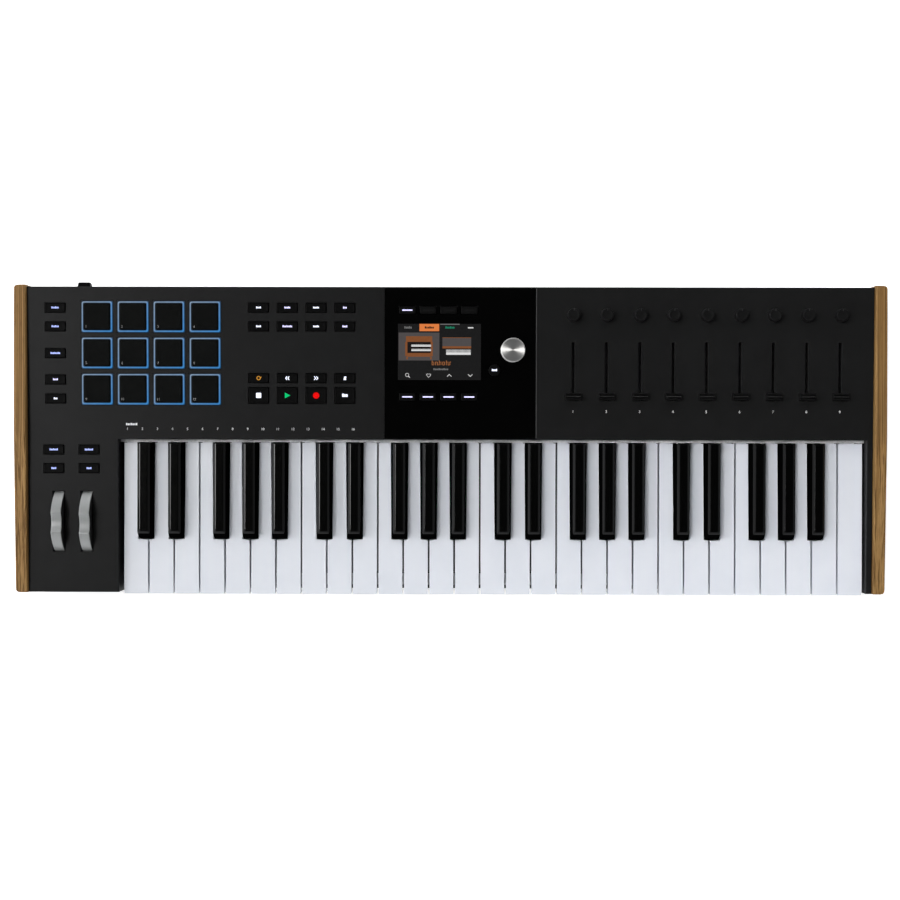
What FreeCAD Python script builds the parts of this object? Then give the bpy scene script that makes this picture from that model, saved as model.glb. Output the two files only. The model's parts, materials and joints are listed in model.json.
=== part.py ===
import FreeCAD, Part
import math
import os

from FreeCAD import Placement, Rotation, Vector

# ---------------------------------------------------------------------------
# Driving dimensions, in millimetres.  X runs from the bass end to the treble
# end, Y towards the back, Z up.  The origin is under the middle of the
# instrument, on the surface that it stands on.
# ---------------------------------------------------------------------------

# overall
total_depth = 288.8         # from the front of the white keys to the power button
cheek_outer_x = 397.5
cheek_thick = 10.9
cheek_inner_x = cheek_outer_x - cheek_thick
key_front_y = -total_depth / 2
power_rear_y = total_depth / 2
block_front_y = key_front_y + 2.3
panel_rear_y = block_front_y + 279.8
cheek_length = 281.6
cheek_top_z = 62.0          # level over the rear half
cheek_front_z = 55.6        # from the knee the top falls to this height
cheek_knee_y = 2.4
cheek_knee_r = 400.0
cheek_corner = 3.5
cheek_round = 1.2
foot_height = 4.0
wall = 2.5
fit_gap = 0.2               # between pieces of the case that lie side by side

# sloping panel
front_top_z = 52.0
rear_top_z = 58.6
slope_deg = math.degrees(math.atan2(rear_top_z - front_top_z, panel_rear_y - block_front_y))
seam_z = 19.0               # top of the tray's front wall
rear_seam_z = 45.8          # top of the tray's rear and side walls
floor_thick = 2.2
tray_front_y = block_front_y + 0.9

# keys
cell = 23.5                 # pitch of the white keys
key_gap = 1.1
white_count = 29
first_cell_x = -301.2
white_top_z = 44.5
white_side = 12.0           # depth of a white key's side walls
white_lip = 21.0            # depth of its front
skin = 1.6
key_rear_y = -4.5
black_length = 88.0
black_base = 13.6
black_top = 11.4
black_rise = 13.0
black_slope = 7.6           # how far the front of a black key leans back
black_gap = 0.9
pivot_y = 18.0
pivot_z = 30.0
rod_r = 1.2
running_gap = 0.05
tail_top_z = 40.0
tail_bottom_z = 26.0
tail_rear_y = 26.0
well_left_x = -303.5
well_right_x = 381.1
panel_edge_y = -1.5         # front edge of the control panel, over the keys
well_wall_z = 30.0          # lower edge of the walls beside the keys
well_edge_z = 45.5          # lower edge of the wall behind them

# black key centres, as (white cell on its left, offset from the cell border)
black_places = {"cs": (0, -2.3), "ds": (1, 2.3), "fs": (3, -3.5), "gs": (4, 0.0), "as": (5, 3.5)}
white_names = ["c", "d", "e", "f", "g", "a", "b"]

# controls: x across, y from the front edge of the casing along the slope
small_hole = (19.0, 9.0)
tall_hole = (19.0, 15.1)
cap_gap = 0.4               # around a cap in its hole
cap_proud = 0.8
side_x = -360.5
side_ys = [260.5, 243.4, 219.0, 195.0, 177.6]
octave_xs = [-362.5, -330.2]
octave_ys = [130.9, 113.8]
function_x0 = -174.6
function_pitch = 26.27
function_ys = [260.8, 243.7]
transport_ys = [196.6, 180.8]
pad_x0 = -322.4
pad_y0 = 252.5
pad_pitch_x = 32.9
pad_pitch_y = 33.1
pad_frame = (28.9, 28.5)
pad_cap = 24.3
pad_gap = 0.3               # around a pad in its light frame
fascia_x = (-59.3, 78.7)
fascia_span = (141.3, 279.0)
fascia_thick = 1.2
edge_bevel = 0.5
screen_x = (-47.4, 28.4)
screen_y = (195.1, 246.4)
soft_hole = (15.6, 7.4)
soft_x0 = -38.8
soft_pitch = 18.85
soft_ys = [258.7, 179.7]
browse_place = (57.3, 222.2)
browse_r = 10.95
back_place = (40.7, 204.1)
back_r = 5.2
strip_x0 = 112.5            # first knob and first fader
strip_pitch = 30.4
knob_y = 254.4
knob_r = 5.95
knob_height = 8.0
slot_width = 2.5
fader_rest_y = 180.3
fader_travel = 45.0
slot_y = (fader_rest_y - 3.7, fader_rest_y + fader_travel + 4.3)
cap_size = (14.2, 6.5, 6.2)

# wheels
wheel_xs = [-358.3, -332.6]
wheel_y = -77.1
wheel_r = 32.0
wheel_width = 9.5
wheel_proud = 12.2
wheel_slot = (11.3, 55.7)
axle_r = 2.0
scoop_r = 16.6
scoop_deep = 3.7
scoop_turns = [1.0, 2.8]     # how far each wheel is turned forwards at rest, in degrees

# boards and sockets
board_thick = 1.6
board_depth = 10.0          # below the top of the panel
socket_z = 30.0
main_board_z = 18.4
jack_r = 3.3
jack_xs = [-205.0, -183.0, -161.0, -139.0]
midi_xs = [-264.0, -238.0]
usb_x = -292.0
dc_x = -314.0
power_x = -340.8
power_size = (12.9, 8.4)
power_taper = 1.2           # each side, from the rear wall to the button's end


# ---------------------------------------------------------------------------
# Small helpers
# ---------------------------------------------------------------------------

def box(x0, x1, y0, y1, z0, z1):
    return Part.makeBox(x1 - x0, y1 - y0, z1 - z0, Vector(x0, y0, z0))


def block(cx, cy, width, depth, z0, z1):
    return box(cx - width / 2, cx + width / 2, cy - depth / 2, cy + depth / 2, z0, z1)


def rounded(cx, cy, width, depth, z0, z1, radius):
    """An upright block with rounded vertical edges."""
    body = block(cx, cy, width, depth, z0, z1)
    upright = [e for e in body.Edges if abs(e.tangentAt(e.FirstParameter).z) > 0.9]
    return body.makeFillet(radius, upright)


def cyl(cx, cy, z0, z1, radius):
    return Part.makeCylinder(radius, z1 - z0, Vector(cx, cy, z0), Vector(0, 0, 1))


def cyl_x(x0, x1, y, z, radius):
    return Part.makeCylinder(radius, x1 - x0, Vector(x0, y, z), Vector(1, 0, 0))


def cyl_y(x, y0, y1, z, radius):
    return Part.makeCylinder(radius, y1 - y0, Vector(x, y0, z), Vector(0, 1, 0))


def rectangle(x0, x1, y0, y1, z):
    corners = [Vector(x0, y0, z), Vector(x1, y0, z), Vector(x1, y1, z), Vector(x0, y1, z)]
    return Part.makePolygon(corners + corners[:1])


def prism_x(points, x0, x1):
    """A solid with a side profile of (y, z) points, from x0 to x1."""
    corners = [Vector(x0, y, z) for y, z in points]
    wire = Part.makePolygon(corners + corners[:1])
    return Part.Face(wire).extrude(Vector(x1 - x0, 0, 0))


def moved(shape, dx, dy=0.0, dz=0.0):
    copy = shape.copy()
    copy.translate(Vector(dx, dy, dz))
    return copy


def cutter(cx, cy, width, depth, deep, bevel=0.3):
    """Cuts a rectangular hole with bevelled rims through a plate whose top is at z = 0."""
    def rim(extra, z):
        return rectangle(cx - width / 2 - extra, cx + width / 2 + extra,
                         cy - depth / 2 - extra, cy + depth / 2 + extra, z)
    collar = Part.makeLoft([rim(0, -bevel), rim(2 * bevel, bevel)], True, True)
    return block(cx, cy, width, depth, -deep, 1).fuse(collar)


def round_cutter(cx, cy, radius, deep, bevel=0.3):
    """The same for a round hole."""
    collar = Part.makeCone(radius, radius + 2 * bevel, 2 * bevel, Vector(cx, cy, -bevel), Vector(0, 0, 1))
    return cyl(cx, cy, -deep, 1, radius).fuse(collar)


def on_panel(shape):
    """Takes a shape from the panel's own frame, where z = 0 is its top, to the casing's."""
    tilt = Placement(Vector(0, block_front_y, front_top_z), Rotation(Vector(1, 0, 0), slope_deg))
    copy = shape.copy()
    copy.Placement = tilt.multiply(copy.Placement)
    return copy


def panel_z(y):
    """Height of the panel's top above a point at y."""
    return front_top_z + (y - block_front_y) * math.tan(math.radians(slope_deg))


def top_edges(shape, z, skip_y=None):
    """Edges that lie wholly at height z, leaving out those along y = skip_y."""
    found = []
    for e in shape.Edges:
        ends = [v.Point for v in e.Vertexes]
        if any(abs(p.z - z) > 0.01 for p in ends):
            continue
        if skip_y is not None and all(abs(p.y - skip_y) < 0.01 for p in ends):
            continue
        found.append(e)
    return found


def save(name, solids):
    """Writes one sub-part, which is one solid or a group of separate ones."""
    if not isinstance(solids, list):
        solids = [solids]
    loose = [s for piece in solids for s in piece.Solids]
    shape = loose[0] if len(loose) == 1 else Part.makeCompound(loose)
    shape.exportStep("parts/" + name + ".step")
    valid = all(s.isValid() for s in loose)
    print(name, len(loose), "solids", round(shape.Volume / 1000.0, 2), "cm3", "" if valid else "INVALID")


# ---------------------------------------------------------------------------
# Places that several sub-parts share
# ---------------------------------------------------------------------------

def side_places():
    column = [(side_x, y) for y in side_ys]
    return column + [(x, y) for y in octave_ys for x in octave_xs]


def function_places():
    return [(function_x0 + function_pitch * i, y) for y in function_ys for i in range(4)]


def transport_places(row):
    return [(function_x0 + function_pitch * i, transport_ys[row]) for i in range(4)]


def pad_places():
    return [(pad_x0 + pad_pitch_x * i, pad_y0 - pad_pitch_y * j) for j in range(3) for i in range(4)]


def soft_places():
    return [(soft_x0 + soft_pitch * i, y) for y in soft_ys for i in range(4)]


def strip_xs():
    return [strip_x0 + strip_pitch * i for i in range(9)]


def foot_places():
    return [(x, y) for x in (-350.0, 0.0, 350.0) for y in (-118.0, 112.0)]


def frame_screw_places():
    return [(x, y) for x in (-250.0, -85.5, 79.0, 243.5) for y in (-102.0, -16.0)]


def cheek_screw_places():
    return [(-110.0, 24.0), (0.0, 24.0), (110.0, 24.0)]


def board_post_places():
    return [(x, y) for x in (-325.0, -222.0, -128.0) for y in (72.0, 106.0)]


# ---------------------------------------------------------------------------
# Casing
# ---------------------------------------------------------------------------

def base_tray():
    outer_x = cheek_inner_x - fit_gap
    rear = panel_rear_y
    floor_top = foot_height + floor_thick
    outer = box(-outer_x, outer_x, tray_front_y, rear, foot_height, rear_seam_z)
    inner = box(-outer_x + wall, outer_x - wall, tray_front_y + wall, rear - wall, floor_top, rear_seam_z + 1)
    front_cut = box(-outer_x - 1, outer_x + 1, tray_front_y - 1, tray_front_y + wall + 0.01, seam_z, 60)
    tray = outer.cut([inner, front_cut])
    posts = [cyl(x, y, floor_top - 0.5, main_board_z, 3.0) for x, y in board_post_places()]
    tray = tray.fuse(posts)
    holes = []
    for x, y in frame_screw_places():
        holes.append(cyl(x, y, foot_height - 1, foot_height + 1.3, 3.0))
        holes.append(cyl(x, y, foot_height - 1, floor_top + 1, 1.7))
    for y, z in cheek_screw_places():
        holes.append(cyl_x(-outer_x - 1, outer_x + 1, y, z, 1.7))
    for x in jack_xs:
        holes.append(cyl_y(x, rear - wall - 1, rear + 1, socket_z, 5.7))
    for x in midi_xs:
        holes.append(cyl_y(x, rear - wall - 1, rear + 1, socket_z, 9.3))
    holes.append(cyl_y(dc_x, rear - wall - 1, rear + 1, socket_z, 5.2))
    holes.append(box(usb_x - 6.3, usb_x + 6.3, rear - wall - 1, rear + 1, socket_z - 3.4, socket_z + 3.4))
    half_w = power_size[0] / 2 + cap_gap
    half_h = power_size[1] / 2 + cap_gap
    holes.append(box(power_x - half_w, power_x + half_w, rear - wall - 1, rear + 1,
                     socket_z - half_h, socket_z + half_h))
    return tray.cut(holes).removeSplitter()


def panel_shell():
    """The bare top shell: a sloping plate with a rim, the left block and the right strip."""
    outer_x = cheek_inner_x - fit_gap
    rim_z = rear_seam_z + fit_gap
    front = block_front_y
    rear = panel_rear_y
    outer = prism_x([(front, rim_z), (front, front_top_z), (rear, rear_top_z), (rear, rim_z)],
                    -outer_x, outer_x)
    inner = prism_x([(front + wall, rim_z - 1), (front + wall, front_top_z - wall),
                     (rear - wall, rear_top_z - wall), (rear - wall, rim_z - 1)],
                    -outer_x + wall, outer_x - wall)
    well = box(well_left_x, well_right_x, front - 1, panel_edge_y, 0, 70)
    shell = outer.cut([inner, well])
    skirt_z = seam_z + fit_gap
    extra = [
        box(-outer_x, well_left_x, front, front + wall, skirt_z, rim_z + 1),
        box(well_right_x, outer_x, front, front + wall, skirt_z, rim_z + 1),
        under_panel(well_left_x - wall, well_left_x, front, panel_edge_y + wall, well_wall_z),
        under_panel(well_right_x, well_right_x + wall, front, panel_edge_y + wall, well_wall_z),
        under_panel(well_right_x, outer_x, front, panel_edge_y + wall, rim_z),
        under_panel(well_left_x - 1, well_right_x + 1, panel_edge_y, panel_edge_y + wall, well_edge_z),
    ]
    shell = shell.fuse(extra).removeSplitter()
    return shell.makeChamfer(edge_bevel, [e for e in shell.Edges if on_slope(e)])


def under_panel(x0, x1, y0, y1, z0):
    """A wall that ends inside the panel's plate, 1 mm below its top."""
    return prism_x([(y0, z0), (y0, panel_z(y0) - 1), (y1, panel_z(y1) - 1), (y1, z0)], x0, x1)


def on_slope(edge):
    """Does this edge lie in the sloping top of the panel?"""
    return all(abs(v.Point.z - panel_z(v.Point.y)) < 0.01 for v in edge.Vertexes)


def fascia_holes():
    """The holes that the fascia and the panel below it share."""
    holes = [cutter(x, y, soft_hole[0], soft_hole[1], wall + 2) for x, y in soft_places()]
    holes.append(box(screen_x[0], screen_x[1], screen_y[0], screen_y[1], -wall - 2, 1))
    holes.append(round_cutter(browse_place[0], browse_place[1], 4.7, wall + 2))
    holes.append(round_cutter(back_place[0], back_place[1], back_r + cap_gap, wall + 2))
    return holes


def top_panel():
    holes = fascia_holes()
    deep = wall + 2
    for x, y in side_places() + function_places() + transport_places(0):
        holes.append(cutter(x, y, small_hole[0], small_hole[1], deep))
    for x, y in transport_places(1):
        holes.append(cutter(x, y, tall_hole[0], tall_hole[1], deep))
    for x, y in pad_places():
        holes.append(cutter(x, y, pad_frame[0] + 0.3, pad_frame[1] + 0.3, deep))
    for x in strip_xs():
        holes.append(round_cutter(x, knob_y, 3.7, deep))
        holes.append(cutter(x, sum(slot_y) / 2, slot_width, slot_y[1] - slot_y[0], deep))
    for x in wheel_xs:
        holes.append(cutter(x, wheel_y - block_front_y, wheel_slot[0], wheel_slot[1], deep))
    middle = (sum(fascia_x) / 2, (fascia_span[0] + fascia_span[1]) / 2)
    size = (fascia_x[1] - fascia_x[0] + 0.2, fascia_span[1] - fascia_span[0])
    holes.append(cutter(middle[0], middle[1], size[0], size[1], fascia_thick + 0.05, edge_bevel))
    return panel_shell().cut([on_panel(h) for h in holes]).removeSplitter()


def centre_fascia():
    plate = box(fascia_x[0], fascia_x[1], fascia_span[0] + 0.2, fascia_span[1] - 0.2, -fascia_thick, 0)
    return on_panel(plate.cut(fascia_holes()))


def display_module():
    gap = 0.15
    glass = box(screen_x[0] + gap, screen_x[1] - gap, screen_y[0] + gap, screen_y[1] - gap, -2.8, -0.15)
    body = box(screen_x[0] - 4, screen_x[1] + 4, screen_y[0] - 4, screen_y[1] + 4, -8.0, -2.7)
    return on_panel(glass.fuse(body))


def across_top(edge):
    """True for a seam between two parts of a cheek's top."""
    box = edge.BoundBox
    return box.YLength < 0.01 and key_front_y + 5 < box.YMin < panel_rear_y - 5


def cheek(side):
    """A wooden end cheek, its top level at the rear and falling to the front; side is -1 or 1."""
    front = block_front_y - 0.2
    rear = front + cheek_length
    bottom = foot_height + 0.6
    fall = math.atan2(cheek_top_z - cheek_front_z, cheek_knee_y - front)
    bend = cheek_knee_r * math.tan(fall / 2)
    before = (cheek_knee_y - bend * math.cos(fall), cheek_top_z - bend * math.sin(fall))
    halfway = (cheek_knee_y + bend - cheek_knee_r * math.sin(fall / 2),
               cheek_top_z - cheek_knee_r * (1 - math.cos(fall / 2)))
    after = (cheek_knee_y + bend, cheek_top_z)
    lines = [(after, (rear, cheek_top_z)), ((rear, cheek_top_z), (rear, bottom)),
             ((rear, bottom), (front, bottom)), ((front, bottom), (front, cheek_front_z)),
             ((front, cheek_front_z), before)]
    edges = [Part.makeLine(*[Vector(cheek_inner_x, y, z) for y, z in line]) for line in lines]
    edges.append(Part.Arc(*[Vector(cheek_inner_x, y, z) for y, z in (before, halfway, after)]).toShape())
    body = Part.Face(Part.Wire(edges)).extrude(Vector(cheek_thick, 0, 0))
    corners = [e for e in body.Edges if all(abs(v.Point.x - cheek_outer_x) < 0.01 for v in e.Vertexes)
               and abs(e.tangentAt(e.FirstParameter).z) > 0.9]
    body = body.makeFillet(cheek_corner, corners)
    top_edges = [e for e in body.Edges if e.BoundBox.ZMin > cheek_front_z - 0.01
                 and e.BoundBox.XLength + e.BoundBox.YLength > cheek_corner
                 and not across_top(e)]
    body = body.makeFillet(cheek_round, top_edges)
    holes = [cyl_x(cheek_inner_x - 1, cheek_inner_x + 8.2, y, z, 1.6) for y, z in cheek_screw_places()]
    body = body.cut(holes)
    if side < 0:
        body = body.mirror(Vector(0, 0, 0), Vector(1, 0, 0))
    return body


def rubber_feet():
    feet = []
    for x, y in foot_places():
        foot = cyl(x, y, 0, foot_height, 10.0)
        feet.append(foot.makeFillet(1.0, top_edges(foot, 0.0)))
    return feet


def case_screws():
    screws = []
    for x, y in frame_screw_places():
        head = cyl(x, y, foot_height, foot_height + 1.2, 2.8)
        screws.append(head.fuse(cyl(x, y, foot_height + 1.0, 13.0, 1.45)))
    inside_x = cheek_inner_x - fit_gap - wall
    for side in (-1, 1):
        for y, z in cheek_screw_places():
            head = cyl_x(inside_x - 2.0, inside_x, y, z, 2.8)
            screw = head.fuse(cyl_x(inside_x - 0.5, inside_x + wall + 8.0, y, z, 1.5))
            screws.append(screw if side > 0 else screw.mirror(Vector(0, 0, 0), Vector(1, 0, 0)))
    return screws


# ---------------------------------------------------------------------------
# Keys
# ---------------------------------------------------------------------------

def black_x(name):
    """Centre of a black key, from the left border of its octave's first cell."""
    index, offset = black_places[name]
    return (index + 1) * cell + offset


def white_rear_span(index):
    """How far the rear part of a white key reaches between its black neighbours."""
    left = index * cell + key_gap / 2
    right = (index + 1) * cell - key_gap / 2
    reach = black_base / 2 + black_gap
    for name, (cell_index, _) in black_places.items():
        if cell_index == index:
            right = black_x(name) - reach
        if cell_index == index - 1:
            left = black_x(name) + reach
    return left, right


def tail(cx, half_width):
    """The rear arm of a key, with the bore that it turns on."""
    arm = box(cx - half_width, cx + half_width, key_rear_y - 4, tail_rear_y, tail_bottom_z, tail_top_z)
    return arm.cut(cyl_x(cx - half_width - 1, cx + half_width + 1, pivot_y, pivot_z, rod_r + running_gap))


def plungers(cx):
    """The two stems that press the contact rubbers."""
    return [block(cx, y, 3.0, 4.0, 26.5, white_top_z - 1) for y in (-46.0, -58.0)]


def white_key(index, full=False):
    """One white key as a moulding that is open below, in its octave's own frame."""
    left = index * cell + key_gap / 2
    right = (index + 1) * cell - key_gap / 2
    rear_left, rear_right = (left, right) if full else white_rear_span(index)
    notch_y = key_rear_y - black_length - 1.2
    side_z = white_top_z - white_side
    body = box(left, right, key_front_y, notch_y, side_z, white_top_z)
    body = body.fuse(box(rear_left, rear_right, notch_y - 5, key_rear_y, side_z, white_top_z))
    body = body.fuse(box(left, right, key_front_y, key_front_y + 1.5, white_top_z - white_lip, white_top_z))
    body = body.removeSplitter()
    body = body.makeFillet(0.7, top_edges(body, white_top_z, key_rear_y))
    hollow = [
        box(left + 1.5, right - 1.5, key_front_y + 1.5, notch_y - 1.5, side_z - 1, white_top_z - skin),
        box(rear_left + 1.5, rear_right - 1.5, notch_y - 5, key_rear_y - 1.5, side_z - 1, white_top_z - skin),
    ]
    body = body.cut(hollow)
    centre = (rear_left + rear_right) / 2
    return body.fuse([tail(centre, 4.6)] + plungers(centre)).removeSplitter()


def black_key(cx):
    """One black key: narrow on top, with a sloping front."""
    front = key_rear_y - black_length
    top_z = white_top_z + black_rise
    half = black_base / 2
    waist_z = white_top_z + 1.0
    low = rectangle(cx - half, cx + half, front, key_rear_y, waist_z)
    high = rectangle(cx - black_top / 2, cx + black_top / 2, front + black_slope, key_rear_y, top_z)
    cap = Part.makeLoft([low, high], True, True)
    body = box(cx - half, cx + half, front, key_rear_y, white_top_z - white_side, waist_z).fuse(cap)
    body = body.removeSplitter()
    body = body.makeFillet(1.3, top_edges(body, top_z, key_rear_y))
    hollow = box(cx - half + 1.5, cx + half - 1.5, front + 1.5, key_rear_y - 1.5, 0, white_top_z - skin)
    body = body.cut(hollow)
    return body.fuse([tail(cx, 4.0)] + plungers(cx)).removeSplitter()


def key_group(name):
    """All the keys of one pitch, in the order of their octaves."""
    if name in black_places:
        first = black_key(black_x(name))
    else:
        first = white_key(white_names.index(name))
    keys = [moved(first, first_cell_x + 7 * cell * octave) for octave in range(4)]
    if name == "c":
        keys.append(moved(white_key(0, full=True), first_cell_x + 28 * cell))
    return keys


def key_centres():
    """The centre of every key's tail."""
    centres = []
    for octave in range(4):
        start = first_cell_x + 7 * cell * octave
        for index in range(7):
            centres.append(start + sum(white_rear_span(index)) / 2)
        for name in black_places:
            centres.append(start + black_x(name))
    centres.append(first_cell_x + 28.5 * cell)
    return centres


def keybed_frame():
    left = first_cell_x - 0.4
    right = first_cell_x + white_count * cell - 0.4
    plate_z = 9.0
    frame = box(left, right, -138.0, 30.0, plate_z - 2.0, plate_z)
    bits = [box(left, right, -138.0, -126.0, plate_z - 1, 18.5)]
    for i in range(white_count):
        centre = first_cell_x + (i + 0.5) * cell
        bits.append(block(centre, -120.0, 5.0, 8.0, plate_z - 1, 30.0))
    for octave in range(4):
        for name in black_places:
            centre = first_cell_x + 7 * cell * octave + black_x(name)
            bits.append(block(centre, -76.0, 4.0, 7.0, plate_z - 1, 28.0))
    for x in rib_xs():
        bits.append(box(x - 1.2, x + 1.2, 12.0, 24.0, plate_z - 2, 34.0))
    for x, y in frame_screw_places():
        bits.append(cyl(x, y, plate_z - 1, 13.5, 4.0))
    frame = frame.fuse(bits)
    holes = [cyl_x(left - 8, right + 8, pivot_y, pivot_z, rod_r + running_gap)]
    holes += [cyl(x, y, plate_z - 3, 14.0, 1.5) for x, y in frame_screw_places()]
    return frame.cut(holes).removeSplitter()


def rib_xs():
    """Upright ribs that carry the rod, where no black key stands."""
    inner = [first_cell_x + 7 * cell * k for k in range(1, 5)]
    return [first_cell_x - 0.65] + inner + [first_cell_x + white_count * cell + 0.2]


def key_pivot_rod():
    return cyl_x(first_cell_x - 4.0, first_cell_x + white_count * cell + 2.6, pivot_y, pivot_z, rod_r)


def key_felts():
    left = well_left_x + 0.3
    right = well_right_x - 0.3
    stop = box(first_cell_x, first_cell_x + white_count * cell - 1, -137.5, -127.0, 18.5, 21.0)
    strip = box(left, right, key_rear_y + 0.4, key_rear_y + 8.5, 40.6, 45.4)
    return [stop, strip]


def key_contact_board():
    board = box(first_cell_x + 1, first_cell_x + white_count * cell - 2, -66.0, -36.0, 12.0, 13.6)
    feet = [cyl(x, y, 9.0, 12.0, 2.5) for x in (-280.0, -120.0, 40.0, 200.0, 360.0) for y in (-62.0, -40.0)]
    domes = []
    for x in key_centres():
        for y in (-46.0, -58.0):
            dome = Part.makeCone(3.2, 2.0, 5.0, Vector(x, y, 13.6), Vector(0, 0, 1))
            domes.append(dome)
    return [board.fuse(feet + domes).removeSplitter()]


def key_return_springs():
    springs = []
    for x in key_centres():
        tube = cyl(x, 22.8, 9.0, 24.5, 2.0)
        springs.append(tube.cut(cyl(x, 22.8, 8.0, 26.0, 1.3)))
    return springs


# ---------------------------------------------------------------------------
# Buttons and pads
# ---------------------------------------------------------------------------

def button(hole, x, y, radius=1.0):
    """A button cap with its flange under the panel and its stem above the switch."""
    width = hole[0] - 2 * cap_gap
    depth = hole[1] - 2 * cap_gap
    cap = rounded(0, 0, width, depth, -3.4, cap_proud, radius)
    cap = cap.makeFillet(0.35, top_edges(cap, cap_proud))
    flange = block(0, 0, hole[0] + 1.4, hole[1] + 1.4, -4.4, -3.2)
    stem = cyl(0, 0, -5.8, -4.0, 2.0)
    return moved(cap.fuse([flange, stem]), x, y)


def side_buttons():
    first = button(small_hole, 0, 0)
    return [on_panel(moved(first, x, y)) for x, y in side_places()]


def function_buttons():
    first = button(small_hole, 0, 0)
    tall = button(tall_hole, 0, 0)
    small = [on_panel(moved(first, x, y)) for x, y in function_places() + transport_places(0)]
    return small + [on_panel(moved(tall, x, y)) for x, y in transport_places(1)]


def screen_buttons():
    first = button(soft_hole, 0, 0)
    caps = [on_panel(moved(first, x, y)) for x, y in soft_places()]
    cap = cyl(0, 0, -3.4, cap_proud + 0.4, back_r)
    cap = cap.makeFillet(0.5, top_edges(cap, cap_proud + 0.4))
    round_one = cap.fuse([cyl(0, 0, -4.4, -3.2, back_r + 1.2), cyl(0, 0, -5.8, -4.0, 2.0)])
    caps.append(on_panel(moved(round_one, back_place[0], back_place[1])))
    return caps


def power_button():
    half_w = power_size[0] / 2
    half_h = power_size[1] / 2
    inside = panel_rear_y - wall

    def outline(y, less):
        corners = [Vector(sx * (half_w - less), y, sz * (half_h - less))
                   for sx, sz in ((-1, -1), (1, -1), (1, 1), (-1, 1))]
        return Part.makePolygon(corners + corners[:1])

    cap = box(-half_w, half_w, inside - 2.2, panel_rear_y, -half_h, half_h)
    nub = Part.makeLoft([outline(panel_rear_y, 0.0), outline(power_rear_y, power_taper)], True, True)
    cap = cap.fuse(nub)
    rear_edges = [e for e in cap.Edges if all(abs(v.Point.y - power_rear_y) < 0.01 for v in e.Vertexes)]
    cap = cap.makeChamfer(0.5, rear_edges)
    flange = box(-half_w - 1.5, half_w + 1.5, inside - 2.2, inside - 0.4, -half_h - 1.5, half_h + 1.5)
    stem = cyl_y(0, inside - 6.0, inside - 2.0, 0, 2.0)
    return moved(cap.fuse([flange, stem]), power_x, 0, socket_z)


def pads():
    cap = rounded(0, 0, pad_cap, pad_cap, -4.5, 1.6, 1.2)
    cap = cap.makeFillet(0.6, top_edges(cap, 1.6))
    body = cap.fuse(cyl(0, 0, -7.0, -4.2, 5.0))
    return [on_panel(moved(body, x, y)) for x, y in pad_places()]


def pad_light_frames():
    outer = rounded(0, 0, pad_frame[0], pad_frame[1], -4.0, 0.4, 1.6)
    flange = block(0, 0, pad_frame[0] + 2.0, pad_frame[1] + 2.0, -4.0, -2.7)
    hole = rounded(0, 0, pad_cap + 2 * pad_gap, pad_cap + 2 * pad_gap, -5, 1, 1.4)
    frame = outer.fuse(flange).cut(hole)
    return [on_panel(moved(frame, x, y)) for x, y in pad_places()]


# ---------------------------------------------------------------------------
# Knobs, faders, wheels
# ---------------------------------------------------------------------------

def knob(x):
    """A small knob with its shaft."""
    base = 0.7
    cap = Part.makeCone(knob_r + 0.2, knob_r - 0.2, knob_height, Vector(0, 0, base), Vector(0, 0, 1))
    cap = cap.makeFillet(0.6, top_edges(cap, base + knob_height))
    shaft = cyl(0, 0, -8.0, base + 1, 2.95)
    mark = box(-0.4, 0.4, 2.2, knob_r + 1, base + knob_height - 0.5, base + knob_height + 1)
    return on_panel(moved(cap.fuse(shaft).cut(mark), x, knob_y))


def encoder_body(radius_out, radius_in, size):
    """A rotary encoder's housing with its bush up through the panel."""
    housing = block(0, 0, size, size, -board_depth, -3.0)
    bush = cyl(0, 0, -3.5, 0.3, radius_out)
    return housing.fuse(bush).cut(cyl(0, 0, -8.7, 1, radius_in))


def knob_encoders():
    small = encoder_body(3.6, 3.0, 11.0)
    large = encoder_body(4.5, 3.05, 14.0)
    bodies = [on_panel(moved(small, x, knob_y)) for x in strip_xs()]
    return bodies + [on_panel(moved(large, browse_place[0], browse_place[1]))]


def browse_shaft():
    return on_panel(cyl(browse_place[0], browse_place[1], -8.0, 10.0, 3.0))


def browse_knob():
    base = 1.4
    top = 13.0
    cap = cyl(0, 0, base, top, browse_r)
    cap = cap.makeFillet(0.8, top_edges(cap, top))
    cap = cap.cut(cyl(0, 0, base - 1, 10.2, 3.0 + running_gap))
    return on_panel(moved(cap, browse_place[0], browse_place[1]))


def fader(x):
    """A fader cap on its stem."""
    width, depth, height = cap_size
    base = 1.2
    low = rectangle(-width / 2, width / 2, -depth / 2, depth / 2, base)
    high = rectangle(-width / 2 + 0.5, width / 2 - 0.5, -depth / 2 + 1.0, depth / 2 - 1.0, base + height)
    cap = Part.makeLoft([low, high], True, True)
    groove = cyl_x(-width, width, 0, base + height + 1.6, 2.4)
    stem = block(0, 0, 1.5, 4.4, -7.5, base + 1)
    return on_panel(moved(cap.cut(groove).fuse(stem), x, fader_rest_y))


def fader_tracks():
    middle = sum(slot_y) / 2
    body = block(0, middle, 9.0, 62.0, -board_depth, -3.0)
    groove = block(0, middle, slot_width + 0.3, slot_y[1] - slot_y[0] + 1, -8.5, 0)
    track = body.cut(groove)
    return [on_panel(moved(track, x, 0)) for x in strip_xs()]


def wheel_axis_z():
    return panel_z(wheel_y) + wheel_proud - wheel_r


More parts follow.
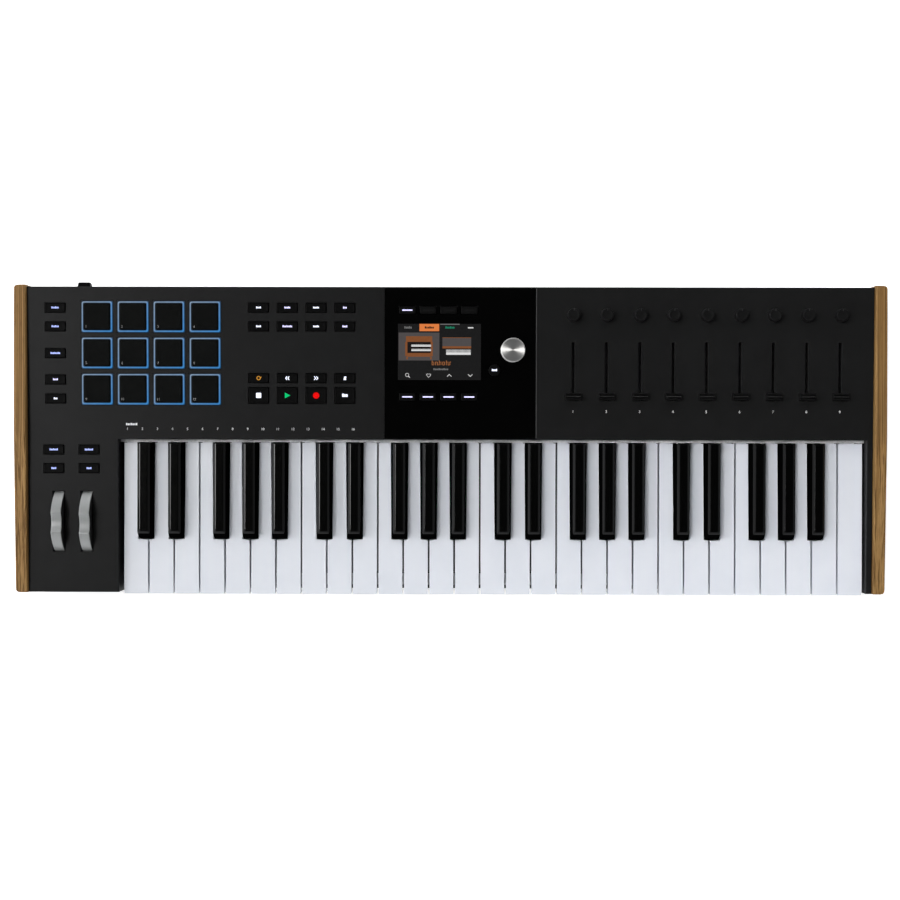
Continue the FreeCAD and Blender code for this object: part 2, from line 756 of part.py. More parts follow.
def wheel(x, turn_deg):
    """A wheel with a thumb scoop; its lower part is cut away above the floor."""
    z = wheel_axis_z()
    half = wheel_width / 2
    disc = cyl_x(x - half, x + half, wheel_y, z, wheel_r)
    disc = disc.makeFillet(0.8, disc.Edges)
    below = box(x - half - 1, x + half + 1, wheel_y - 40, wheel_y + 40, z - 40, z - 8.0)
    reach = wheel_r + scoop_r - scoop_deep
    turn = math.radians(turn_deg)
    scoop_y = wheel_y - reach * math.sin(turn)
    scoop = cyl_x(x - half - 1, x + half + 1, scoop_y, z + reach * math.cos(turn), scoop_r)
    bore = cyl_x(x - half - 1, x + half + 1, wheel_y, z, axle_r + running_gap)
    return disc.cut([below, scoop, bore])


def wheel_cradle():
    """The bracket of upright plates that carries the wheels, with their axles."""
    z = wheel_axis_z()
    floor_top = foot_height + floor_thick
    left = wheel_xs[0] - wheel_width / 2 - 4.0
    right = wheel_xs[1] + wheel_width / 2 + 4.0
    cradle = box(left, right, wheel_y - 14, wheel_y + 14, floor_top, floor_top + 2.0)
    plates = []
    for x in wheel_xs:
        for side in (-1, 1):
            centre = x + side * (wheel_width / 2 + 2.0)
            plates.append(box(centre - 1.0, centre + 1.0, wheel_y - 9, wheel_y + 9, floor_top, z + 6))
        plates.append(cyl_x(x - wheel_width / 2 - 2.5, x + wheel_width / 2 + 2.5, wheel_y, z, axle_r))
    return cradle.fuse(plates).removeSplitter()


# ---------------------------------------------------------------------------
# Boards and sockets
# ---------------------------------------------------------------------------

def circuit_boards():
    low = -board_depth - board_thick
    high = -board_depth - 0.02
    boards = [
        on_panel(box(-376.0, -80.0, 162.0, 274.0, low, high)),
        on_panel(box(-376.0, -314.0, 104.0, 141.0, low, high)),
        on_panel(box(-56.0, 76.0, 164.0, 274.0, low, high)),
        on_panel(box(96.0, 374.0, 165.0, 270.0, low, high)),
    ]
    switches = [moved(block(0, 0, 6.0, 6.0, -board_depth + 0.02, -7.0), x, y)
                for x, y in side_places() + function_places() + transport_places(0)
                + transport_places(1) + soft_places() + [back_place]]
    boards += [on_panel(s) for s in switches]
    rear = panel_rear_y - wall - 2.5
    main = box(-352.0, -118.0, 64.0, rear, main_board_z + 0.02, main_board_z + board_thick)
    chips = [block(-250.0, 84.0, 14.0, 14.0, main_board_z + 1, main_board_z + 3.2),
             block(-180.0, 84.0, 20.0, 10.0, main_board_z + 1, main_board_z + 3.0)]
    boards.append(main.fuse(chips))
    return boards


def socket_body(x, width, height, depth):
    """A socket's housing between the main board and the rear wall."""
    rear = panel_rear_y - wall - 0.1
    low = main_board_z + board_thick + 0.05
    return box(x - width / 2, x + width / 2, rear - depth, rear, low, low + height)


def pedal_jacks():
    jacks = []
    for x in jack_xs:
        body = socket_body(x, 15.0, 19.0, 20.0)
        bush = cyl_y(x, panel_rear_y - wall - 1, panel_rear_y + 0.6, socket_z, 5.5)
        jacks.append(body.fuse(bush).cut(cyl_y(x, panel_rear_y - 20.0, panel_rear_y + 1, socket_z, jack_r)))
    return jacks


def midi_sockets():
    sockets = []
    for x in midi_xs:
        body = socket_body(x, 20.0, 19.5, 14.0)
        face = panel_rear_y + 0.4
        body = body.fuse(cyl_y(x, panel_rear_y - wall - 1, face, socket_z, 9.1))
        ring = cyl_y(x, face - 9.0, face + 1, socket_z, 6.9)
        core = cyl_y(x, face - 10.0, face - 0.4, socket_z, 5.9)
        pins = []
        for k in range(5):
            angle = math.radians(45 * k)
            pin_x = x + 3.6 * math.cos(angle)
            pin_z = socket_z + 3.6 * math.sin(angle)
            pins.append(cyl_y(pin_x, face - 8.0, face + 1, pin_z, 0.8))
        body = body.cut(ring).fuse(core).cut(pins)
        sockets.append(body)
    return sockets


def usb_power_sockets():
    face = panel_rear_y + 0.2
    usb = socket_body(usb_x, 12.0, 14.0, 12.0)
    usb = usb.fuse(box(usb_x - 6.0, usb_x + 6.0, face - 4, face, socket_z - 3.1, socket_z + 3.1))
    shell = box(usb_x - 4.5, usb_x + 4.5, face - 8.0, face + 1, socket_z - 1.65, socket_z + 1.65)
    tongue = box(usb_x - 3.3, usb_x + 3.3, face - 8.5, face - 1.0, socket_z - 0.35, socket_z + 0.35)
    usb = usb.cut(shell.makeFillet(1.6, [e for e in shell.Edges if e.tangentAt(0).y ** 2 > 0.9])).fuse(tongue)
    dc = socket_body(dc_x, 11.0, 15.5, 14.0)
    dc = dc.fuse(cyl_y(dc_x, face - 4, face, socket_z, 5.0))
    dc = dc.cut(cyl_y(dc_x, face - 9.5, face + 1, socket_z, 2.9))
    dc = dc.fuse(cyl_y(dc_x, face - 10.0, face - 1.0, socket_z, 1.0))
    return [usb, dc]


# ---------------------------------------------------------------------------
# Everything together
# ---------------------------------------------------------------------------

def main():
    os.makedirs("parts", exist_ok=True)
    save("base_tray", base_tray())
    save("top_panel", top_panel())
    save("centre_fascia", centre_fascia())
    save("display_module", display_module())
    save("left_cheek", cheek(-1))
    save("right_cheek", cheek(1))
    save("rubber_feet", rubber_feet())
    save("case_screws", case_screws())
    save("keybed_frame", keybed_frame())
    save("key_pivot_rod", key_pivot_rod())
    save("key_felts", key_felts())
    save("key_contact_board", key_contact_board())
    save("key_return_springs", key_return_springs())
    for name in white_names + list(black_places):
        save("keys_" + name, key_group(name))
    save("side_buttons", side_buttons())
    save("function_buttons", function_buttons())
    save("screen_buttons", screen_buttons())
    save("power_button", power_button())
    save("pads", pads())
    save("pad_light_frames", pad_light_frames())
    for number, x in enumerate(strip_xs(), 1):
        save("knob_%d" % number, knob(x))
        save("fader_%d" % number, fader(x))
    save("knob_encoders", knob_encoders())
    save("browse_shaft", browse_shaft())
    save("browse_knob", browse_knob())
    save("fader_tracks", fader_tracks())
    save("pitch_wheel", wheel(wheel_xs[0], scoop_turns[0]))
    save("mod_wheel", wheel(wheel_xs[1], scoop_turns[1]))
    save("wheel_cradle", wheel_cradle())
    save("circuit_boards", circuit_boards())
    save("pedal_jacks", pedal_jacks())
    save("midi_sockets", midi_sockets())
    save("usb_power_sockets", usb_power_sockets())


main()
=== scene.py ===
import json
import math

import bmesh
import bpy
from mathutils import Matrix, Vector


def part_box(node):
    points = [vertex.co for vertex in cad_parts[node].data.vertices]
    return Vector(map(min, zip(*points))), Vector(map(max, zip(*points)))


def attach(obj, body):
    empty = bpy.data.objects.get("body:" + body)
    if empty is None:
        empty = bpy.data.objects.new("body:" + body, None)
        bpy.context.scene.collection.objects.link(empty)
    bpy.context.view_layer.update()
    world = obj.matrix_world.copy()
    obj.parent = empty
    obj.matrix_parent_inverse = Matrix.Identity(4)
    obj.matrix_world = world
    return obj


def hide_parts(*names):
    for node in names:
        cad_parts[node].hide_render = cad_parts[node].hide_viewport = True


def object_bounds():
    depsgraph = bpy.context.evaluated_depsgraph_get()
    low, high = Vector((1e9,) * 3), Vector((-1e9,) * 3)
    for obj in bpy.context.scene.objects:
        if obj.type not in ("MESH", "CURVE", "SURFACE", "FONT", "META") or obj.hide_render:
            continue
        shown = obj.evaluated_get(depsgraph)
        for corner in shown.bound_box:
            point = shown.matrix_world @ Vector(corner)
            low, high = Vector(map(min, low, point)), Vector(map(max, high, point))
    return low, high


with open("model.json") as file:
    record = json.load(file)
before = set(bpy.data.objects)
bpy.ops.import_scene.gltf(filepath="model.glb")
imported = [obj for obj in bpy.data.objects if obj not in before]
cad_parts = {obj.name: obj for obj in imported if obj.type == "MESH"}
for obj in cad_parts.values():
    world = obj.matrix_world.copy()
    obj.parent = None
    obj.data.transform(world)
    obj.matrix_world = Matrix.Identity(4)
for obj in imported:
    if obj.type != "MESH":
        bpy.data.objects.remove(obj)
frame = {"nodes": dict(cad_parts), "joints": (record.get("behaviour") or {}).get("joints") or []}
cad_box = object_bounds()

MM = 0.001                  # meshes are built in millimetres; piece() turns them into metres
LARGE_FACE = 40 * MM ** 2   # faces above this area are shaded flat
PRINT = 0.04                # thickness of print and lit legends
LAYER = 0.05                # step between the layers of the screen's picture


# ---- Reading the frame ----

JOINTS = {j["name"]: j for j in frame["joints"]}
ROW_AXES = Matrix.Identity(4)


def panel_axes():
    """The panel's own axes: X across, Y backwards along the slope, z = 0 on its top."""
    up = -Vector(JOINTS["press_pads"]["axis"]).normalized()
    along = Vector((0, up.z, -up.y))
    height = max(up.dot(v.co) for v in frame["nodes"]["top_panel"].data.vertices)
    axes = Matrix.Identity(4)
    for column, axis in enumerate((Vector((1, 0, 0)), along, up, up * height)):
        for row in range(3):
            axes[row][column] = axis[row]
    return axes


def solids(node, axes=ROW_AXES):
    """The (low, high) corners, in millimetres, of each separate solid of a CAD node, rear ones first."""
    mesh = frame["nodes"][node].data
    places = {}
    ids = [places.setdefault(tuple(round(c, 6) for c in v.co), len(places)) for v in mesh.vertices]
    owner = list(range(len(places)))

    def root(i):
        while owner[i] != i:
            owner[i] = owner[owner[i]]
            i = owner[i]
        return i

    for polygon in mesh.polygons:
        first = root(ids[polygon.vertices[0]])
        for v in polygon.vertices:
            owner[root(ids[v])] = first
    groups = {}
    to_local = axes.inverted()
    for place, i in places.items():
        groups.setdefault(root(i), []).append(to_local @ Vector(place) / MM)
    boxes = []
    for points in groups.values():
        low = Vector([min(p[k] for p in points) for k in range(3)])
        high = Vector([max(p[k] for p in points) for k in range(3)])
        boxes.append((low, high))
    return sorted(boxes, key=lambda b: (-round(b[0].y, 1), b[0].x))


PANEL = panel_axes()


def middle(box):
    return (box[0] + box[1]) / 2


def plan_middle(low, high):
    """The middle of a box seen from above."""
    return ((low.x + high.x) / 2, (low.y + high.y) / 2)


# ---- Mesh building ----

def skin(bm, rings, cap_start=True, cap_end=True):
    """Skins a tube over rings that have the same number of points; gives rows of vertices."""
    rows = [[bm.verts.new(p) for p in ring] for ring in rings]
    count = len(rows[0])
    for a, b in zip(rows, rows[1:]):
        for i in range(count):
            j = (i + 1) % count
            bm.faces.new((a[i], a[j], b[j], b[i]))
    if cap_start:
        bm.faces.new(rows[0][::-1])
    if cap_end:
        bm.faces.new(rows[-1])
    return rows


def rounded_rect(width, depth, radius, steps=4):
    """A rectangle with round corners about the origin, anticlockwise."""
    radius = min(radius, width / 2, depth / 2)
    points = []
    for corner, (sx, sy) in enumerate(((1, 1), (-1, 1), (-1, -1), (1, -1))):
        for i in range(steps + 1):
            angle = math.radians(90 * (corner + i / steps))
            points.append((sx * (width / 2 - radius) + radius * math.cos(angle),
                           sy * (depth / 2 - radius) + radius * math.sin(angle)))
    return points


def moved(points, centre):
    return [(x + centre[0], y + centre[1]) for x, y in points]


def at_height(points, z):
    return [(x, y, z) for x, y in points]


def soft_block(bm, width, depth, radius, levels, centre=(0, 0)):
    """A block with round corners, drawn in at each of its (inset, z) levels."""
    def outline(inset):
        return rounded_rect(width - 2 * inset, depth - 2 * inset, max(radius - inset, 0.05))
    return skin(bm, [at_height(moved(outline(inset), centre), z) for inset, z in levels])


def circle(radius, count=48):
    return [(radius * math.cos(2 * math.pi * i / count), radius * math.sin(2 * math.pi * i / count))
            for i in range(count)]


def turned(bm, profile, centre=(0, 0), count=48):
    """A lathe shape from (radius, z) points, closed at both ends."""
    return skin(bm, [at_height(moved(circle(r, count), centre), z) for r, z in profile])


def closed_tube(bm, rings):
    """Skins a loop of rings, with the last joined to the first."""
    rows = skin(bm, rings, False, False)
    count = len(rows[0])
    for i in range(count):
        j = (i + 1) % count
        bm.faces.new((rows[-1][i], rows[-1][j], rows[0][j], rows[0][i]))
    return rows


def plate(bm, points, z, thick=PRINT):
    """A flat piece with a straight-sided outline, as thin as print or foil."""
    return skin(bm, [at_height(points, z), at_height(points, z + thick)])


def bar(bm, cx, cy, width, depth, z, thick=PRINT):
    corners = [(cx + sx * width / 2, cy + sy * depth / 2) for sx, sy in ((-1, -1), (1, -1), (1, 1), (-1, 1))]
    return plate(bm, corners, z, thick)


def bevel(bm, edges, width):
    bmesh.ops.bevel(bm, geom=list(edges), offset=width, segments=3, profile=0.5,
                    affect="EDGES", clamp_overlap=True)


def piece(name, bm, material, body, replaces=(), axes=PANEL, sharp_deg=38):
    """Turns a finished mesh, in millimetres, into a piece that moves with a CAD body."""
    bmesh.ops.remove_doubles(bm, verts=bm.verts, dist=0.0002)
    bmesh.ops.recalc_face_normals(bm, faces=bm.faces)
    bm.transform(axes @ Matrix.Scale(MM, 4))
    for face in bm.faces:
        face.smooth = face.calc_area() < LARGE_FACE
    for edge in bm.edges:
        if len(edge.link_faces) == 2:
            edge.smooth = edge.calc_face_angle(0) < math.radians(sharp_deg)
    mesh = bpy.data.meshes.new(name)
    bm.to_mesh(mesh)
    bm.free()
    for m in (material if isinstance(material, list) else [material]):
        mesh.materials.append(m)
    made = bpy.data.objects.new(name, mesh)
    bpy.context.scene.collection.objects.link(made)
    weighted = made.modifiers.new("even_normals", "WEIGHTED_NORMAL")
    weighted.keep_sharp = True
    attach(made, body)
    if replaces:
        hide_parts(*replaces)
    return made


# ---- Materials ----

class Shader:
    """A material being wired up: add() makes a node and joins its inputs."""

    def __init__(self, name):
        self.material = bpy.data.materials.new(name)
        self.material.use_nodes = True
        self.tree = self.material.node_tree
        self.surface = self.tree.nodes["Principled BSDF"]

    def add(self, kind, inputs=None, **settings):
        node = self.tree.nodes.new(kind)
        for key, value in settings.items():
            setattr(node, key, value)
        for key, value in (inputs or {}).items():
            self.put(node, key, value)
        return node

    def put(self, node, key, value):
        if isinstance(value, bpy.types.NodeSocket):
            self.tree.links.new(value, node.inputs[key])
        else:
            node.inputs[key].default_value = value

    def set(self, **values):
        for key, value in values.items():
            self.put(self.surface, key.replace("_", " "), value)

    def place(self, stretch=(1, 1, 1)):
        """Object coordinates, stretched so that a pattern can run along one axis."""
        coordinates = self.add("ShaderNodeTexCoord").outputs["Object"]
        return self.add("ShaderNodeMapping", {"Vector": coordinates, "Scale": stretch}).outputs["Vector"]

    def noise(self, scale, place=None, detail=4, roughness=0.55):
        return self.add("ShaderNodeTexNoise", {
            "Vector": place or self.place(), "Scale": scale, "Detail": detail,
            "Roughness": roughness}).outputs["Fac"]

    def ramp(self, value, low, high, out_low=0.0, out_high=1.0):
        return self.add("ShaderNodeMapRange", {
            "Value": value, "From Min": low, "From Max": high,
            "To Min": out_low, "To Max": out_high}).outputs["Result"]

    def mix(self, factor, a, b):
        node = self.add("ShaderNodeMix", data_type="RGBA")
        self.put(node, 0, factor)
        self.put(node, 6, a)
        self.put(node, 7, b)
        return node.outputs[2]

    def bump(self, height, distance):
        inputs = {"Height": height, "Distance": distance, "Strength": 1.0}
        return self.add("ShaderNodeBump", inputs).outputs["Normal"]


def grey(value):
    return (value, value, value, 1)


def tone(value):
    """A colour from one grey level or from three levels."""
    return grey(value) if isinstance(value, float) else (*value, 1)


def moulded(name, dark, light, rough, grain=(2500, 0.004), specular=0.5, patches=60):
    """Plastic, rubber or paint: fine surface grain, faint blotches of colour and roughness."""
    s = Shader(name)
    broad = s.noise(patches, detail=3)
    fine = s.noise(grain[0], detail=2)
    s.set(Base_Color=s.mix(s.ramp(broad, 0.3, 0.7), tone(dark), tone(light)))
    s.set(Roughness=s.ramp(s.noise(patches * 3.3), 0.3, 0.7, *rough))
    s.set(Normal=s.bump(fine, grain[1] * MM), Specular_IOR_Level=specular)
    return s.material


def lit(name, colour, strength, spread=0.25):
    """A lit legend or light guide, a little uneven as moulded light guides are."""
    s = Shader(name)
    uneven = s.noise(420, detail=2)
    dim = [0.04 * c for c in colour]
    s.set(Base_Color=s.mix(uneven, tone(dim), grey(0.004)), Emission_Color=tone(colour), Roughness=0.5)
    s.set(Emission_Strength=s.ramp(uneven, 0.3, 0.7, strength * (1 - spread), strength))
    s.set(Specular_IOR_Level=0.04)
    return s.material


def light_guide(name):
    """Blue light guides lit from within; the difference between their sides is painted light: pale and thin
    towards the left and rear as painted reflection, broad and blue to the right and front as painted light
    from the lit side walls.
    """
    s = Shader(name)
    painted_shade = s.add("ShaderNodeAttribute", attribute_name="painted_side_light").outputs["Fac"]
    power = s.add("ShaderNodeAttribute", attribute_name="power").outputs["Fac"]
    uneven = s.ramp(s.noise(300, detail=2), 0.3, 0.7, 0.9, 1.08)
    # painted light: the colour runs from pale grey-blue on the left and rear sides to deep blue on the right
    # and front
    colour = s.mix(painted_shade, (0.26, 0.37, 0.52, 1), (0.045, 0.235, 0.56, 1))
    strength = s.add("ShaderNodeMath", {0: power, 1: uneven}, operation="MULTIPLY")
    s.set(Base_Color=s.mix(uneven, grey(0.001), (0.002, 0.003, 0.005, 1)), Emission_Color=colour,
          Emission_Strength=strength.outputs[0], Roughness=0.4, Specular_IOR_Level=0.05)
    return s.material


def wood(name, painted_shade):
    """Oiled wood with its grain along Y: broad bands, narrow dark streaks, fine fibres and pores; its
    colours are scaled down by a factor for painted shade.
    """
    s = Shader(name)
    bands = s.noise(260, s.place((1.0, 0.015, 0.8)), detail=3, roughness=0.5)
    streaks = s.noise(1000, s.place((1.0, 0.005, 0.8)), detail=2, roughness=0.5)
    fibres = s.noise(1900, s.place((1.0, 0.012, 1.0)), detail=4, roughness=0.7)
    pores = s.noise(2400, s.place((1.0, 0.03, 1.0)), detail=2)
    dark, middle_tone, pale = (tone([painted_shade * c for c in colour]) for colour in (
        (0.100, 0.048, 0.013), (0.262, 0.142, 0.047), (0.40, 0.235, 0.086)))
    colour = s.mix(s.ramp(bands, 0.36, 0.64), middle_tone, pale)
    for pattern, start, full, share in ((streaks, 0.50, 0.58, 0.80), (fibres, 0.45, 0.75, 0.55),
                                        (pores, 0.64, 0.72, 0.80)):
        colour = s.mix(s.ramp(pattern, start, full, 0.0, share), colour, dark)
    height = s.add("ShaderNodeMath", {0: fibres, 1: s.ramp(pores, 0.62, 0.72)}, operation="SUBTRACT")
    s.set(Base_Color=colour, Roughness=s.ramp(fibres, 0.3, 0.7, 0.50, 0.68),
          Normal=s.bump(height.outputs[0], 0.05 * MM), Specular_IOR_Level=0.12)
    return s.material


def spun_metal(name, centre):
    """Turned aluminium: fine rings about an upright axis, so highlights spread into wedges."""
    s = Shader(name)
    coordinates = s.add("ShaderNodeTexCoord").outputs["Object"]
    offset = s.add("ShaderNodeMapping", {"Vector": coordinates, "Location": [-c for c in centre]})
    flat = s.add("ShaderNodeVectorMath", {0: offset.outputs[0], 1: (1, 1, 0)}, operation="MULTIPLY")
    radius = s.add("ShaderNodeVectorMath", {0: flat.outputs[0]}, operation="LENGTH").outputs["Value"]
    scaled = s.add("ShaderNodeCombineXYZ", {"X": radius})
    rings = s.noise(5200, scaled.outputs[0], detail=3)
    tangent = s.add("ShaderNodeTangent", direction_type="RADIAL", axis="Z").outputs[0]
    s.set(Base_Color=s.mix(rings, (0.60, 0.59, 0.57, 1), (0.76, 0.75, 0.72, 1)), Metallic=1.0,
          Roughness=s.ramp(rings, 0.3, 0.7, 0.38, 0.48), Anisotropic=0.9,
          Anisotropic_Rotation=0.25, Tangent=tangent, Normal=s.bump(rings, 0.003 * MM))
    return s.material


def brushed(name, colour, rough=0.3):
    s = Shader(name)
    lines = s.noise(900, s.place((0.05, 1, 1)), detail=4)
    s.set(Base_Color=s.mix(lines, colour, [c * 0.8 for c in colour[:3]] + [1]), Metallic=1.0,
          Roughness=s.ramp(lines, 0.3, 0.7, rough, rough + 0.15), Normal=s.bump(lines, 0.004 * MM))
    return s.material


def felt(name, tone):
    s = Shader(name)
    fuzz = s.noise(2600, detail=6, roughness=0.8)
    tangle = s.noise(700, detail=5, roughness=0.7)
    s.set(Base_Color=s.mix(s.ramp(tangle, 0.3, 0.7), grey(tone * 0.8), grey(tone * 1.15)), Roughness=0.95,
          Normal=s.bump(fuzz, 0.12 * MM), Sheen_Weight=0.5, Sheen_Roughness=0.5)
    return s.material


def circuit_board(name):
    """Green solder mask over faint copper tracks."""
    s = Shader(name)
    tracks = s.add("ShaderNodeTexBrick", {"Vector": s.place(), "Scale": 60.0, "Mortar Size": 0.03,
                                          "Color1": grey(0), "Color2": grey(0), "Mortar": grey(1)})
    mask = s.mix(s.noise(40), (0.012, 0.06, 0.028, 1), (0.02, 0.09, 0.042, 1))
    s.set(Base_Color=s.mix(tracks.outputs["Fac"], mask, (0.035, 0.15, 0.07, 1)), Roughness=0.35,
          Normal=s.bump(tracks.outputs["Fac"], 0.03 * MM), Coat_Weight=0.4)
    return s.material


# dark and light tone, roughness, (scale, height in mm) of the grain, specular level, scale of the patches
MOULDED = {
    "panel": ((0.0080, 0.0081, 0.0081), (0.0096, 0.0096, 0.0097), (0.36, 0.42),
              (3800, 0.010), 0.09),
    "tray": (0.014, 0.022, (0.55, 0.7), (1500, 0.04)),
    "fascia": (0.0004, 0.0007, (0.05, 0.09), (300, 0.0006), 0.2),
    "button": (0.0016, 0.0024, (0.42, 0.55), (3200, 0.008), 0.04),
    "soft_button": (0.0012, 0.0020, (0.42, 0.5), (3200, 0.002), 0.08),
    "pad": ((0.0026, 0.0030, 0.0028), (0.0036, 0.0040, 0.0038), (0.55, 0.68),
            (2600, 0.02), 0.04),
    "knob": (0.0035, 0.005, (0.4, 0.55), (3000, 0.012), 0.12),
    "white_key": ((0.70, 0.725, 0.78), (0.74, 0.76, 0.81), (0.30, 0.38),
                  (1800, 0.003), 0.5, 25),
    "black_key_side": (0.0010, 0.0016, (0.45, 0.55), (2600, 0.001), 0.0),
    "black_key": (0.0006, 0.0010, (0.13, 0.18), (2600, 0.0004), 0.22),
    "wheel": ((0.262, 0.270, 0.266), (0.295, 0.303, 0.299), (0.22, 0.27),
              (2200, 0.001), 1.0),
    "rubber": (0.012, 0.02, (0.8, 0.92), (1800, 0.05)),
    "frame_plastic": (0.03, 0.045, (0.5, 0.65), (900, 0.03)),
    "component": (0.012, 0.02, (0.4, 0.6), (1500, 0.02)),
    "socket": (0.008, 0.014, (0.4, 0.55), (1500, 0.02)),
    "print": (0.74, 0.80, (0.5, 0.6)),
    "pad_print": (0.20, 0.26, (0.5, 0.6)),
    "mark": (0.016, 0.022, (0.5, 0.6)),
    # painted highlight: a pale grey for the strip beside the fascia
    "painted_highlight": (0.040, 0.050, (0.4, 0.5)),
}
# colour, strength, share by which the strength varies
LIT = {
    "white_light": ((0.80, 0.84, 1.0), 2.0),
    "blue_light": ((0.42, 0.50, 1.0), 1.8),
    "violet_light": ((0.66, 0.64, 1.0), 2.0),
    "dim_light": ((0.02, 0.02, 0.02), 0.3),
    "green_light": ((0.0, 0.72, 0.21), 1.0),
    "red_light": ((0.95, 0.0, 0.0), 1.0),
    "amber_light": ((0.95, 0.42, 0.05), 0.9),
    "screen": ((0.0085, 0.0085, 0.0088), 1.0, 0.05),
    "orange_light": ((0.72, 0.20, 0.05), 1.0, 0.05),
    "orange_text": ((0.62, 0.22, 0.07), 1.0, 0.05),
    "screen_white": ((0.78, 0.78, 0.78), 0.9, 0.05),
    "screen_grey": ((0.074, 0.066, 0.066), 1.0, 0.05),
    "screen_mid": ((0.16, 0.16, 0.16), 1.0, 0.05),
    "screen_brown": ((0.22, 0.075, 0.025), 1.0, 0.1),
    "screen_green": ((0.01, 0.22, 0.12), 1.0, 0.05),
    "screen_dark": ((0.008, 0.006, 0.006), 1.0, 0.05),
}


def make_materials():
    m = {name: moulded(name, *row) for name, row in MOULDED.items()}
    m.update({name: lit(name, *row) for name, row in LIT.items()})
    # painted shade: the right cheek's wood is a darker copy of the left, standing for the shade on the side
    # away from the light
    for side, painted_shade in (("left", 1.0), ("right", 0.80)):
        m["wood_" + side] = wood("oiled_wood_" + side, painted_shade)
    m["light_guide"] = light_guide("light_guide")
    m["spun"] = spun_metal("spun_aluminium", middle(solids("browse_knob")[0]) * MM)
    m["steel"] = brushed("zinc_steel", (0.52, 0.52, 0.54, 1))
    m["nickel"] = brushed("nickel_plate", (0.62, 0.60, 0.56, 1), rough=0.18)
    m["felt"] = felt("pressed_felt", 0.80)
    m["board"] = circuit_board("solder_mask")
    return m


# ---- Keys ----

LEGEND_SUNK = 0.11          # lit legends lie this far below a cap's edge
KEY_NAMES = ["c", "cs", "d", "ds", "e", "f", "fs", "g", "gs", "a", "as", "b"]
SIDE_WALL = 12.0       # depth of a key's side walls
WALL = 1.5
SKIN = 1.6
PIVOT = Vector(JOINTS["press_keys_c"]["pos_m"]) / MM
STRIP = max(solids("key_felts"), key=lambda b: b[1].z)
KEY_REAR = STRIP[0].y - 0.4
KEY_EASE = 0.19        # the mouldings' sides stand back from the nominal outline
DRAFT = 0.45           # and lean in this much towards their lower edge
BLACK_GAP = 0.9        # between a black key and the white ones beside it
NOTCH_GAP = 1.2        # in front of a black key
BLACK_KEYS = [b for n in KEY_NAMES if len(n) == 2 for b in solids("keys_" + n)]


def inset(points, amount):
    """Moves the sides of an anticlockwise right-angled outline inwards."""
    moved = []
    count = len(points)
    for i, point in enumerate(points):
        before = Vector(point) - Vector(points[i - 1])
        after = Vector(points[(i + 1) % count]) - Vector(point)
        normals = [Vector((-d.y, d.x)).normalized() for d in (before, after)]
        shift = normals[0] if (normals[0] - normals[1]).length < 0.1 else normals[0] + normals[1]
        moved.append(tuple(Vector(point) + shift * amount))
    return moved


def white_outline(low, high):
    """A white key's outline, notched beside its black neighbours."""
    left, right, front = low.x, high.x, low.y
    rear_left, rear_right = left, right
    notch = KEY_REAR
    for black_low, black_high in BLACK_KEYS:
        if black_low.x < right < black_high.x + 2:
            rear_right = black_low.x - BLACK_GAP
            notch = min(notch, black_low.y - NOTCH_GAP)
        if black_low.x - 2 < left < black_high.x:
            rear_left = black_high.x + BLACK_GAP
            notch = min(notch, black_low.y - NOTCH_GAP)
    lip = [front + WALL + 0.3, front + WALL + 0.8]
    points = [(left, front), (right, front), (right, lip[0]), (right, lip[1])]
    if rear_right < right:
        points += [(right, notch), (rear_right, notch)]
    points += [(rear_right, KEY_REAR), (rear_left, KEY_REAR)]
    if rear_left > left:
        points += [(rear_left, notch), (left, notch)]
    points += [(left, lip[1]), (left, lip[0])]
    return points, lip[0]


def add_tail(bm, centre, half_width, rear):
    """The rear arm of a key, open below where it clips over the rod."""
    r, top, bottom = 1.25, 40, 26
    start = KEY_REAR - 2.5
    profile = [(start, bottom), (PIVOT.y - r, bottom)]
    for i in range(13):
        angle = math.pi * (1 - i / 12)
        profile.append((PIVOT.y + r * math.cos(angle), PIVOT.z + r * math.sin(angle)))
    profile += [(PIVOT.y + r, bottom), (rear, bottom), (rear, top), (start, top)]
    skin(bm, [[(centre + side * half_width, y, z) for y, z in profile] for side in (-1, 1)])


def add_white_key(bm, low, high):
    points, lip = white_outline(low, high)
    points = inset(points, KEY_EASE)
    rear_y = KEY_REAR - KEY_EASE
    top = high.z
    side_low = top - SIDE_WALL
    drawn_in = inset(points, DRAFT)
    inner = inset(points, WALL + DRAFT)

    def foot(y):
        return low.z if y < lip + 0.1 else side_low

    rings = [[(x, y, top - SKIN) for x, y in inner],
             [(x, y, foot(outer[1])) for (x, y), outer in zip(inner, points)],
             [(x, y, foot(outer[1])) for (x, y), outer in zip(drawn_in, points)],
             [(x, y, top) for x, y in points]]
    rows = skin(bm, rings)
    rim = set(rows[3])
    front_posts = {rows[2][0], rows[2][1]}
    edges = []
    for v in rim:
        for e in v.link_edges:
            other = e.other_vert(v)
            at_rear = min(v.co.y, other.co.y) > rear_y - 0.001
            along_rim = other in rim and not at_rear
            if (along_rim or other in front_posts) and e not in edges:
                edges.append(e)
    bevel(bm, edges, 0.4)
    rear_xs = [x for x, y in points if y > rear_y - 0.001]
    add_tail(bm, sum(rear_xs) / 2, 4.6, high.y)


# a black key's outside: (rise over the white keys, half width, distance behind its front end)
BLACK_LEVELS = [(1.0, 6.80, 0.0), (4.6, 6.43, 1.15), (8.0, 6.08, 2.4), (9.3, 5.94, 3.0), (10.1, 5.86, 3.7),
                (11.0, 5.77, 4.75), (11.3, 5.66, 5.1), (11.55, 5.40, 5.4), (12.66, 3.95, 6.75),
                (12.92, 3.50, 7.2), (13.0, 3.10, 7.7)]
BLACK_RISE = 13.0
BLACK_HALF = 6.8
CHEEK_ROUND = 1.2
MATT_RISE = 11.1            # below this the sides are matt, above it the key is polished


